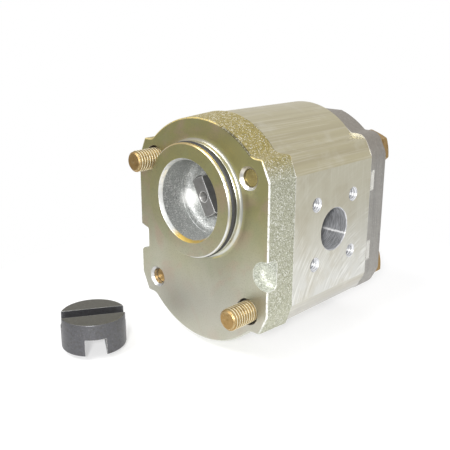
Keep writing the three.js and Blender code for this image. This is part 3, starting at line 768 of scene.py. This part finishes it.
def rubber():
    s = Surface("nitrile_rubber", rgb(50, 50, 51), 0.42, metallic=0.0)
    s.mottle(rgb(66, 66, 66), 1.2, 3, 0.45, 0.7, 0.5)
    s.roughen(s.noise(0.6, 3), 0.2)
    s.bump(s.noise(0.25, 2), 0.01, 0.5)
    return s.done()


def bronze_lining():
    s = Surface("bush_lining", rgb(150, 132, 100), 0.4)
    s.mottle(rgb(96, 88, 76), 0.5, 3, 0.45, 0.7, 0.6)
    s.bump(s.noise(0.3, 2), 0.01, 0.5)
    return s.done()


def backup_polymer():
    s = Surface("backup_polymer", rgb(222, 216, 200), 0.5, metallic=0.0)
    s.mottle(rgb(206, 198, 178), 2, 3, 0.45, 0.7, 0.4)
    s.bump(s.noise(0.4, 2), 0.01, 0.4)
    return s.done()


def ground_steel():
    s = Surface("ground_steel", rgb(196, 196, 196), 0.2)
    s.mottle(rgb(166, 166, 166), 3, 3, 0.45, 0.7, 0.4)
    s.roughen(s.noise(0.6, 3), 0.15)
    s.bump(s.noise(0.3, 2), 0.008, 0.5)
    return s.done()


COVER_FINISHES = [
    chromated_face(),
    cast_skin("chromated_casting", rgb(192, 193, 172), rgb(184, 168, 102), rgb(112, 108, 80)),
    cast_skin("cast_pocket", rgb(212, 214, 204), WHITE, rgb(96, 98, 82), 0.5),
    painted_edge_highlight(),
    blasted_bore(),
    turned_bright("turned_pilot", rgb(212, 212, 208), 0.95),
    mouth_chamfer(),
    turned_bright("hole_edge", rgb(206, 206, 204), 0.97),
    turned_bright("pilot_root", rgb(198, 199, 190), 0.95, gold=0.2),
]
BOLT_FINISHES = [
    yellow_zinc("yellow_zinc_thread", rgb(168, 146, 100), rgb(132, 108, 66), 0.34, 0.85),
    # Painted highlight: near-white thread crests.
    yellow_zinc("yellow_zinc_crest_highlight", rgb(236, 230, 208), rgb(196, 176, 128), 0.26, 0.7),
    yellow_zinc("yellow_zinc_head", rgb(164, 134, 86), rgb(126, 100, 58), 0.36),
    yellow_zinc("olive_zinc_end", rgb(156, 142, 92), rgb(132, 118, 74), 0.4),
]
MACHINED = machined_aluminium()
STEEL = hardened_steel()
RUBBER = rubber()
LINING = bronze_lining()
BACKUP = backup_polymer()
GROUND_STEEL = ground_steel()


# ---- threads

def threaded_bar(radius, pitch, depth, start, end, tip):
    """A closed threaded bar along Y, chamfered down to the tip radius at its start.

    The thread runs out at the end. The shape is the thread's share of its depth along one pitch.
    """
    shape = [0.0, 0.12, 0.55, 0.9, 1.0, 0.9, 0.55, 0.12]
    steps = len(shape)
    sides = 48
    turns = int((end - start) / pitch) + 3
    bm = bmesh.new()
    grid = []
    for row in range(turns * steps):
        ring = []
        for i in range(sides):
            angle = 2 * pi * i / sides
            y = start + (row / steps + i / sides - 1) * pitch
            y = min(max(y, start), end)
            r = max(radius - depth * shape[row % steps], radius - (end - y) * 0.7)
            r = min(r, tip + (y - start) * 1.1)
            ring.append(turned_vertex(bm, r, y, angle))
        grid.append(ring)
    for row in range(len(grid) - 1):
        for i in range(sides):
            j = (i + 1) % sides
            wrap = steps if j == 0 else 0
            if row + 1 + wrap >= len(grid):
                continue
            corners = (grid[row][i], grid[row + wrap][j], grid[row + 1 + wrap][j], grid[row + 1][i])
            bm.faces.new(corners)
    weld(bm)
    open_edges = [e for e in bm.edges if e.is_boundary]
    bmesh.ops.holes_fill(bm, edges=open_edges, sides=0)
    return piece_from("thread", bm)


# ---- casings

# Each bolt's node, and the turn of its head in degrees.
BOLT_NODES = {
    "mounting_bolt_top_left": 12,
    "clamp_bolt_top_right": 40,
    "clamp_bolt_bottom_left": 25,
    "mounting_bolt_bottom_right": 38,
}


def bolt_line(bolt):
    """The bolt's tip, and its axis, from its CAD node's box."""
    low, high = node_box(bolt)
    return low.y, (low.x + high.x) / 2, (low.z + high.z) / 2


def hole(radius, start, end, lip=0.0, sides=48):
    """A cutting tool along Y for a round hole, flared by the lip where it starts."""
    profile = [(0, start - 1), (radius + lip, start - 1)]
    if lip:
        profile += [(radius + lip, start), (radius, start + lip)]
    return revolve(profile + [(radius, end), (0, end)], sides)


def bolt_holes(start, end):
    """A cutting tool along Y for each bolt's clearance hole."""
    lines = [bolt_line(bolt) for bolt in BOLT_NODES]
    return [moved(hole(BOLT_HOLE_RADIUS, start, end), x, 0, z) for _, x, z in lines]


def flange_bore_tool():
    """The coupling bore's mouth and bowl, the ring around the shaft hole and the seal pocket."""
    bowl = arc(BORE_RADIUS - 0.15 - BOWL_ROUND, BOWL_START, BOWL_ROUND, 0, pi / 2, 16)
    bottom = BOWL_START + BOWL_ROUND
    front = -PILOT_HEIGHT
    seal_front, seal_radius = SEAL_POCKET
    return revolve([
        (0, front - 1),
        (MOUTH_RADIUS + 0.1, front - 1),
        (MOUTH_RADIUS + 0.1, front),
        (MOUTH_RADIUS - 0.05, front + 0.12),
        (BORE_RADIUS + 0.1, front + MOUTH_DEPTH - 0.15),
        (BORE_RADIUS, front + MOUTH_DEPTH + 0.15),
        (BORE_RADIUS, BOWL_START - 0.1),
        *bowl,
        (SEAT_RADIUS, bottom + 0.1),
        (SEAT_RADIUS - 0.3, bottom + 0.5),
        (SHAFT_HOLE_RADIUS + 0.3, bottom + 0.8),
        (SHAFT_HOLE_RADIUS, bottom + 1.2),
        (SHAFT_HOLE_RADIUS, seal_front),
        (seal_radius, seal_front),
        (seal_radius, FLANGE_BACK + 1),
        (0, FLANGE_BACK + 1),
    ], 160)


def countersink(depth):
    """A cutting tool for the mouth of a tapped hole: a cone that falls in steps, then a round hole."""
    profile = [(0, -1), (COUNTERSINK_RADIUS, -1), (COUNTERSINK_RADIUS, 0)]
    steps = 3
    step = (COUNTERSINK_RADIUS - TAPPED_RADIUS) / steps
    steepness = 0.9
    for i in range(1, steps + 1):
        radius = COUNTERSINK_RADIUS - step * i
        profile += [(radius + 0.1, step * (i - 0.25) * steepness), (radius, step * i * steepness)]
    return revolve(profile + [(TAPPED_RADIUS, depth), (0, depth)], 64)


def pilot():
    """The pilot boss, with the O-ring groove between two lips and a hollow blend at its root."""
    reach = PILOT_ROOT_RADIUS - PILOT_RADIUS
    blend = []
    for p in arc(0, 0, 1, 0, pi / 2, 8):
        blend.append((PILOT_ROOT_RADIUS - reach * p.x, PILOT_ROOT_RISE * (p.y - 1)))
    front = -PILOT_HEIGHT
    lip = 0.18
    return revolve([
        (0, front),
        (PILOT_RADIUS - 0.7, front),
        (PILOT_RADIUS - 0.55, front + 0.07),
        (PILOT_RADIUS - 0.08, front + 0.5),
        (PILOT_RADIUS, front + 0.65),
        (PILOT_RADIUS, GROOVE[0] - lip),
        (PILOT_RADIUS - lip, GROOVE[0]),
        (GROOVE_RADIUS, GROOVE[0]),
        (GROOVE_RADIUS, GROOVE[1]),
        (PILOT_RADIUS - lip, GROOVE[1]),
        (PILOT_RADIUS, GROOVE[1] + lip),
        *blend,
        (PILOT_ROOT_RADIUS, 2),
        (0, 2),
    ], 256)


def notch_tools():
    """A square pocket on the left edge and a scalloped one on the right, with softened mouths."""
    half_height = 5.4
    low = NOTCH_MIDDLE - half_height
    high = NOTCH_MIDDLE + half_height
    out = -HALF_FACE - 3
    deep = -HALF_FACE + 5.6
    corner = 1.4
    left = [Vector((out, high + 2.4)), Vector((-HALF_FACE - 0.4, high + 1.4))]
    left += arc(deep - corner, high - corner, corner, pi / 2, 0, 6)
    left += arc(deep - corner, low + corner, corner, 0, -pi / 2, 6)
    left += [Vector((-HALF_FACE + 1.8, low - 0.5)), Vector((-HALF_FACE - 0.4, low - 2.6))]
    left.append(Vector((out, low - 3)))
    radius = 6.6
    scallop_depth = 8.3
    middle = HALF_FACE - scallop_depth + radius
    right = [Vector((-out, NOTCH_MIDDLE - radius)), Vector((-out, NOTCH_MIDDLE + radius))]
    right += arc(middle, NOTCH_MIDDLE, radius, pi / 2, 1.5 * pi, 28)
    softened = ((left[::-1], 1.2), (right, 2.0))
    return [prism(outline, -1.0, NOTCH_DEPTH, 0, edge, steps=5) for outline, edge in softened]


# How far a bolt hole's bright edge reaches from its axis, and the x and z below which the pilot's
# front land keeps the face's plating.
HOLE_EDGE = 6.4
PLATED_LAND = (2, 18)


def cover_finish(centre, normal):
    """Index of the finish at a spot of the front cover, in the order of COVER_FINISHES."""
    face, casting, pocket, edge_highlight, bore, turned, bright, hole_edge, root = range(len(COVER_FINISHES))
    notch_floor = 31
    notch_reach = 9
    radius = hypot(centre.x, centre.z)
    if abs(normal.y) > 0.97 and (centre.y < 0.01 or centre.y > FLANGE_BACK - 0.01):
        return face
    if radius < MOUTH_RADIUS + 0.2 and centre.y < FLANGE_BACK - 1:
        return bright if centre.y < -PILOT_HEIGHT + MOUTH_DEPTH + 0.2 else bore
    if centre.y < -PILOT_HEIGHT + 0.6 and centre.x < PLATED_LAND[0] and centre.z < PLATED_LAND[1]:
        return face
    if radius < PILOT_ROOT_RADIUS + 0.1 and centre.y < 0.01:
        if radius > PILOT_ROOT_RADIUS - 1.3:
            return face
        return root if centre.y > GROOVE[1] - 0.01 else turned
    if any(hypot(centre.x - x, centre.z - z) < HOLE_EDGE for _, x, z in map(bolt_line, BOLT_NODES)):
        return hole_edge
    inside = HALF_FACE - abs(centre.x) > 0.2 or abs(normal.x) < 0.6
    in_notch = abs(centre.x) > notch_floor and abs(centre.z - NOTCH_MIDDLE) < notch_reach
    if inside and in_notch and centre.y < NOTCH_DEPTH + 0.1:
        return pocket
    # The face and back bevels take the painted edge highlight.
    if centre.y < FLANGE_FACE_EDGE or centre.y > FLANGE_BACK - FLANGE_BACK_EDGE:
        return edge_highlight
    return casting


def front_cover():
    plate = prism(FLANGE_FRONT_OUTLINE, 0, FLANGE_BACK, FLANGE_FACE_EDGE, FLANGE_BACK_EDGE, steps=4,
                  back_points=FLANGE_BACK_OUTLINE)
    cover = join(plate, pilot())
    tools = [flange_bore_tool(), *notch_tools()]
    for bolt in BOLT_NODES:
        tip, x, z = bolt_line(bolt)
        if tip < 0:
            tools.append(moved(hole(FLANGE_HOLE_RADIUS, 0, FLANGE_BACK + 1, lip=0.25), x, 0, z))
        else:
            tools.append(moved(hole(RUN_OUT_RADIUS, tip + 1, FLANGE_BACK + 1), x, 0, z))
            tools.append(moved(countersink(tip + 1.5), x, 0, z))
    cut(cover, *tools)
    return finish_piece(cover, "flange_cover", "pump", ["front_cover"],
                        COVER_FINISHES, cover_finish)


def port_tools(side, radius, pitch_circle):
    """The port's bore with a chamfered mouth, and its four screw holes with countersinks and ridges."""
    face = -HALF_BODY
    tools = [hole(radius, face, -6, lip=0.4, sides=96)]
    offset = screw_offset(pitch_circle)
    mouth = PORT_SCREW_RADIUS + 0.6
    ridge = PORT_SCREW_RADIUS - 0.3
    screw_hole = [(0, face - 1), (mouth, face - 1), (mouth - 0.05, face)]
    pitch = 1.25
    for i in range(11):
        depth = 1.0 + i * pitch
        screw_hole += [(ridge, face + depth), (PORT_SCREW_RADIUS, face + depth + 0.8)]
    screw_hole += [(ridge, face + 15), (0, face + 16.4)]
    for u in (-offset, offset):
        for v in (-offset, offset):
            tools.append(moved(revolve(screw_hole, 32), u, 0, v))
    turn = Matrix.Rotation(side * pi / 2, 4, "Z")
    onto_side = Matrix.Translation((0, PORT_STATION, MID_HEIGHT)) @ turn
    return [place(tool, onto_side) for tool in tools]


def pump_body():
    block = prism(BODY_OUTLINE, FLANGE_BACK, BODY_BACK, 0.15, 0.1, steps=1)
    tools = [prism(figure_eight(CHAMBER_RADIUS, 64), FLANGE_BACK - 1, BODY_BACK + 1)]
    tools += port_tools(1, *SUCTION_PORT) + port_tools(-1, *PRESSURE_PORT)
    cut(block, *tools, *bolt_holes(FLANGE_BACK, BODY_BACK + 1))
    drawn, milled, machined, port = range(4)
    port_inner = 20
    port_reach = 24
    chamber_reach = 34
    lug_width = 6
    lug_start = 27

    def finish(centre, normal):
        if abs(centre.x) > HALF_BODY - 0.02 and abs(normal.x) > 0.9:
            return milled
        from_port = hypot(centre.y - PORT_STATION, centre.z - MID_HEIGHT)
        if port_inner < abs(centre.x) < HALF_BODY - 0.05 and from_port < port_reach:
            return port
        if abs(normal.y) > 0.6 or hypot(centre.x, centre.z - MID_HEIGHT) < chamber_reach:
            return machined
        if abs(centre.x) < HALF_BODY - lug_width or abs(centre.z - MID_HEIGHT) > lug_start:
            return drawn
        return machined

    return finish_piece(block, "extruded_body", "pump", ["pump_body"],
                        [drawn_aluminium(), milled_side(), MACHINED, port_bore()], finish)


def rear_cover():
    plate = prism(REAR_OUTLINE, BODY_BACK, PUMP_BACK, 0.25, 0.9, steps=5)
    slot_floor = HALF_BODY - PRY_DEPTH
    slot_back = BODY_BACK + PRY_WIDTH
    tools = bolt_holes(BODY_BACK, PUMP_BACK + 1)
    for side in (-1, 1):
        for end in (-1, 1):
            middle = MID_HEIGHT + end * PRY_OFFSET
            outline = box_outline(side * slot_floor, side * (HALF_BODY + 2),
                                  middle - PRY_LENGTH / 2, middle + PRY_LENGTH / 2)
            tools.append(prism(outline, BODY_BACK - 1, slot_back, 0, 0.5))
    cut(plate, *tools)
    cast, machined, slot = range(3)

    def finish(centre, normal):
        beside = abs(centre.x) > slot_floor - 0.1
        if beside and centre.y < slot_back + 0.1 and abs(normal.x) > 0.9:
            return slot if abs(centre.x) < HALF_BODY - 0.5 else cast
        level = abs(abs(centre.z - MID_HEIGHT) - PRY_OFFSET) < PRY_LENGTH / 2 + 0.1
        if beside and level and BODY_BACK < centre.y < slot_back + 0.1:
            return slot
        return machined if centre.y < BODY_BACK + 0.01 and normal.y < -0.9 else cast

    return finish_piece(plate, "end_cover", "pump", ["rear_cover"],
                        [cast_aluminium(), MACHINED, machined_aluminium("pry_slot", 0.15)], finish)


# ---- fasteners, seals, gears and coupling

def hex_head(turn):
    """A hexagon head on a thin washer face, with its outer corners turned off."""
    sides = 96
    flat = HEAD_FLATS / 2
    crown = flat - 0.25
    washer_radius = flat - 0.4
    washer_height = 0.45
    chamfer = tan(radians(28))
    bm = bmesh.new()
    columns = []
    for i in range(sides):
        angle = 2 * pi * i / sides
        across = (angle - turn + pi / 6) % (pi / 3) - pi / 6
        hexagon = flat / cos(abs(across) - pi / 6)
        drop = max(0.0, hexagon - crown) * chamfer
        profile = [
            (washer_radius, 0.0),
            (washer_radius, washer_height),
            (hexagon, washer_height + 0.05),
            (hexagon, HEAD_HEIGHT - drop),
            (crown - 0.25, HEAD_HEIGHT),
            (crown - 2.5, HEAD_HEIGHT),
        ]
        columns.append([turned_vertex(bm, radius, y, angle) for radius, y in profile])
    levels = list(zip(*columns))
    for lower, upper in zip(levels, levels[1:]):
        bridge(bm, lower, upper)
    bm.faces.new(levels[0])
    bm.faces.new(levels[-1])
    return piece_from("head", bm)


def bolt(node_name, turn):
    tip, x, z = bolt_line(node_name)
    head = moved(hex_head(radians(turn)), 0, PUMP_BACK, 0)
    shank_start = tip + THREADED_LENGTH
    shank_radius = BOLT_RADIUS - 0.02
    shank = revolve([(0, shank_start - 0.5), (shank_radius, shank_start - 0.5),
                     (shank_radius, PUMP_BACK + 1), (0, PUMP_BACK + 1)], 48)
    tip_radius = BOLT_RADIUS - (1.1 if tip < 0 else 1.3)
    thread = threaded_bar(BOLT_RADIUS, THREAD_PITCH, THREAD_DEPTH, tip, shank_start, tip_radius)
    whole = join(head, shank, thread)
    moved(whole, x, 0, z)
    ochre, crest_highlight, brown, olive = range(len(BOLT_FINISHES))

    def finish(centre, normal):
        if centre.y > PUMP_BACK - 0.5:
            return brown
        if centre.y < tip + 1.2 and normal.y < -0.6:
            return olive if tip > 0 and z > MID_HEIGHT else brown
        # The thread crests take the painted highlight finish.
        on_crest = hypot(centre.x - x, centre.z - z) > BOLT_RADIUS - 0.3
        return crest_highlight if on_crest and centre.y < shank_start else ochre

    return finish_piece(whole, node_name.replace("bolt", "screw"), "pump", [node_name],
                        BOLT_FINISHES, finish, sharp=32)


def o_ring():
    """The pilot's O-ring, a little flattened where it sits in its groove."""
    middle = Vector((GROOVE_RADIUS + 1.5, sum(GROOVE) / 2))
    section = arc(0, 0, 1, 0, 2 * pi, 24)[:-1]
    profile = [(middle.x + 1.35 * p.x, middle.y + 1.42 * p.y) for p in section]
    ring = revolve(profile, 160, closed=True)
    return finish_piece(ring, "pilot_ring", "pump", ["pilot_o_ring"], [RUBBER], sharp=80)


def gear_outline(first_tooth):
    """Involute teeth with rounded roots, counter-clockwise."""
    pitch_radius = CENTRE_DISTANCE / 2
    base = pitch_radius * cos(PRESSURE_ANGLE)
    tip = pitch_radius + MODULE
    root = pitch_radius - 1.25 * MODULE
    backlash = 0.15
    half_at_pitch = pi / (2 * TEETH) - backlash / (2 * pitch_radius)

    def involute(angle):
        return tan(angle) - angle

    def half_at(radius):
        return half_at_pitch + involute(PRESSURE_ANGLE) - involute(acos(min(1.0, base / radius)))

    start = max(base, root + 0.8)
    end = tip - 0.15
    flank = [(root, half_at(start) + 0.045), (root + 0.22, half_at(start) + 0.016)]
    for i in range(11):
        radius = start + (end - start) * i / 10
        flank.append((radius, half_at(radius)))
    flank.append((tip, half_at(tip) - 0.012))
    points = []
    for tooth in range(TEETH):
        middle = first_tooth + 2 * pi * tooth / TEETH
        points += [polar(radius, middle - half) for radius, half in flank]
        points += [polar(radius, middle + half) for radius, half in reversed(flank)]
    return points


def shaft(front, back):
    return revolve([
        (0, front), (SHAFT_RADIUS - 0.8, front), (SHAFT_RADIUS - 0.65, front + 0.08),
        (SHAFT_RADIUS - 0.06, front + 0.7), (SHAFT_RADIUS, front + 0.9),
        (SHAFT_RADIUS, back - 0.8), (SHAFT_RADIUS - 0.7, back - 0.08),
        (SHAFT_RADIUS - 0.8, back), (0, back),
    ], 96)


# The gap between a shaft's end and the cover, and a reach that is clear of every turned piece.
END_GAP = 0.6
BEYOND = 30.0


def toothed_shaft(front, back, first_tooth):
    half = GEAR_WIDTH / 2
    wheel = prism(gear_outline(first_tooth), GEAR_MIDDLE - half, GEAR_MIDDLE + half, 0.12, 0.12, steps=1)
    return join(shaft(front, back), wheel)


def drive_gear():
    """The drive gear's shaft ends in a tang with a centre hole."""
    whole = toothed_shaft(TANG_TIP, BODY_BACK - END_GAP, -pi / 2)
    for side in (-1, 1):
        outline = box_outline(side * TANG_THICKNESS / 2, side * BEYOND, -BEYOND, BEYOND)
        flat = prism(outline, TANG_TIP - 5, TANG_TIP + TANG_LENGTH)
        cut(whole, place(flat, Matrix.Rotation(-TANG_LEAN, 4, "Y")))
    hole_profile = [(0, -1), (2.6, -1), (2.55, 0), (2.3, 0.25), (1.0, 2.3), (1.0, 4.5), (0, 5.2)]
    cut(whole, moved(revolve(hole_profile, 48), 0, TANG_TIP, 0))
    round_edges(whole, 0.28)
    return finish_piece(whole, "tang_shaft", "drive_gear", ["drive_gear_shaft"],
                        [STEEL])


def driven_gear():
    whole = toothed_shaft(FLANGE_BACK + END_GAP, BODY_BACK - END_GAP, pi / 2 + pi / TEETH)
    moved(whole, 0, 0, -CENTRE_DISTANCE)
    return finish_piece(whole, "idler_shaft", "driven_gear", ["driven_gear_shaft"],
                        [STEEL])


def coupling():
    """The loose disc, slotted for the tang above and, square to that, for the driving dog below."""
    low, high = node_box("drive_coupling")
    height = high.z - low.z
    radius = (high.y - low.y) / 2
    disc = revolve([
        (0, 0), (radius - 0.45, 0), (radius - 0.1, 0.12), (radius, 0.45),
        (radius, height - 0.45), (radius - 0.12, height - 0.12), (radius - 0.45, height), (0, height),
    ], 128)
    place(disc, Matrix.Rotation(pi / 2, 4, "X"))

    def slot_tool(width, bottom, top, across):
        tool = prism(box_outline(-BEYOND, BEYOND, bottom, top), -width / 2, width / 2)
        return place(tool, Matrix.Rotation(across, 4, "Z"))

    tang_slot = slot_tool(TANG_SLOT[0], height - TANG_SLOT[1], height + 3, 0)
    dog_slot = slot_tool(DOG_SLOT[0], -3, DOG_SLOT[1], pi / 2)
    cut(disc, tang_slot, dog_slot)
    round_edges(disc, 0.22)
    turn = Matrix.Rotation(COUPLING_TURN, 4, "Z")
    place(disc, Matrix.Translation(((low.x + high.x) / 2, (low.y + high.y) / 2, GROUND)) @ turn)
    return finish_piece(disc, "loose_coupling", "coupling", ["drive_coupling"],
                        [sintered_steel()])


front_cover()
pump_body()
rear_cover()
for bolt_name, head_turn in BOLT_NODES.items():
    bolt(bolt_name, head_turn)
o_ring()
drive_gear()
driven_gear()
coupling()


# ---- inner pieces that keep their CAD shape

# Words in a node's name, and its material.
KEPT = {
    "bearing_block": MACHINED,
    "bush": LINING,
    "zone_seal": RUBBER,
    "backup_strip": BACKUP,
    "casing_seal": RUBBER,
    "seal_case": GROUND_STEEL,
    "seal_lip": RUBBER,
    "seal_spring": GROUND_STEEL,
    "_pin_": GROUND_STEEL,
}
for name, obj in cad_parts.items():
    for words, material in KEPT.items():
        if words in name:
            obj.data.materials.clear()
            obj.data.materials.append(material)


# ---- stage, light and camera

FLOOR_RADIUS = 170.0


def floor():
    """A pale round board, bright enough to leave only soft shadows."""
    board = revolve([(0, 0), (FLOOR_RADIUS, 0), (FLOOR_RADIUS, 2), (0, 2)], 128)
    place(board, Matrix.Rotation(-pi / 2, 4, "X"))
    place(board, Matrix.Scale(MM, 4) @ Matrix.Translation((0, GEAR_MIDDLE, GROUND - 2.05)))
    board.name = "floor"
    material = bpy.data.materials.new("floor_white")
    material.use_nodes = True
    feed(material.node_tree, material.node_tree.nodes["Principled BSDF"], {
        "Base Color": (0.5, 0.5, 0.5, 1),
        "Roughness": 0.6,
        "Emission Color": (1, 1, 1, 1),
        "Emission Strength": 0.5,
    })
    board.data.materials.append(material)


def studio_world():
    """Seen directly it is white. Reflections see a bright tent that darkens towards the pump's front."""
    world = bpy.data.worlds.new("studio")
    bpy.context.scene.world = world
    world.use_nodes = True
    tree = world.node_tree
    direction = node(tree, "TexCoord").outputs["Generated"]
    split = node(tree, "SeparateXYZ", {0: direction})
    sky = ramp_node(tree, split.outputs[2], -0.35, 0.45, 0.72, 0.85)
    shade = ramp_node(tree, split.outputs[1], -0.75, 0.5, 0.54, 1.0)
    seen = node(tree, "LightPath").outputs["Is Camera Ray"]
    reflected = node(tree, "Math", {0: sky, 1: shade}, operation="MULTIPLY")
    strength = node(tree, "Math", {0: reflected.outputs[0], 1: seen}, operation="MAXIMUM")
    feed(tree, tree.nodes["Background"], {"Color": (1, 1, 1, 1), "Strength": strength.outputs[0]})


def area_light(name, location, target, size, power):
    data = bpy.data.lights.new(name, "AREA")
    data.energy = power
    data.size = size
    lamp = bpy.data.objects.new(name, data)
    bpy.context.scene.collection.objects.link(lamp)
    lamp.location = location
    lamp.rotation_euler = (Vector(target) - Vector(location)).to_track_quat("-Z", "Y").to_euler()


def camera():
    """Looks at the pump's front right corner from a little above."""
    azimuth = radians(43.67)
    elevation = radians(16.03)
    roll = radians(0.28)
    distance = 302.42
    right_of_axis = 13.4
    below_axis = 5.55
    back = Vector((sin(azimuth) * cos(elevation), -cos(azimuth) * cos(elevation), sin(elevation)))
    level = Vector((cos(azimuth), sin(azimuth), 0))
    upright = back.cross(level)
    right = level * cos(roll) + upright * sin(roll)
    up = upright * cos(roll) - level * sin(roll)
    data = bpy.data.cameras.new("camera")
    data.sensor_width = 36
    data.lens = 53.81
    data.shift_x = -0.0079
    data.shift_y = -0.0324
    data.clip_start = 0.01
    eye = bpy.data.objects.new("camera", data)
    bpy.context.scene.collection.objects.link(eye)
    axes = Matrix((right, up, back)).transposed().to_4x4()
    location = (right * right_of_axis - up * below_axis + back * distance) * MM
    eye.matrix_world = Matrix.Translation(location) @ axes
    bpy.context.scene.camera = eye


floor()
studio_world()
area_light("key", (-0.15, -0.55, 0.75), (0, 0.04, -0.02), 0.45, 5)
area_light("flash", (0.30, -0.37, 0.17), (0, 0.04, -0.02), 0.07, 2.6)
camera()
bpy.context.scene.view_settings.view_transform = "Standard"
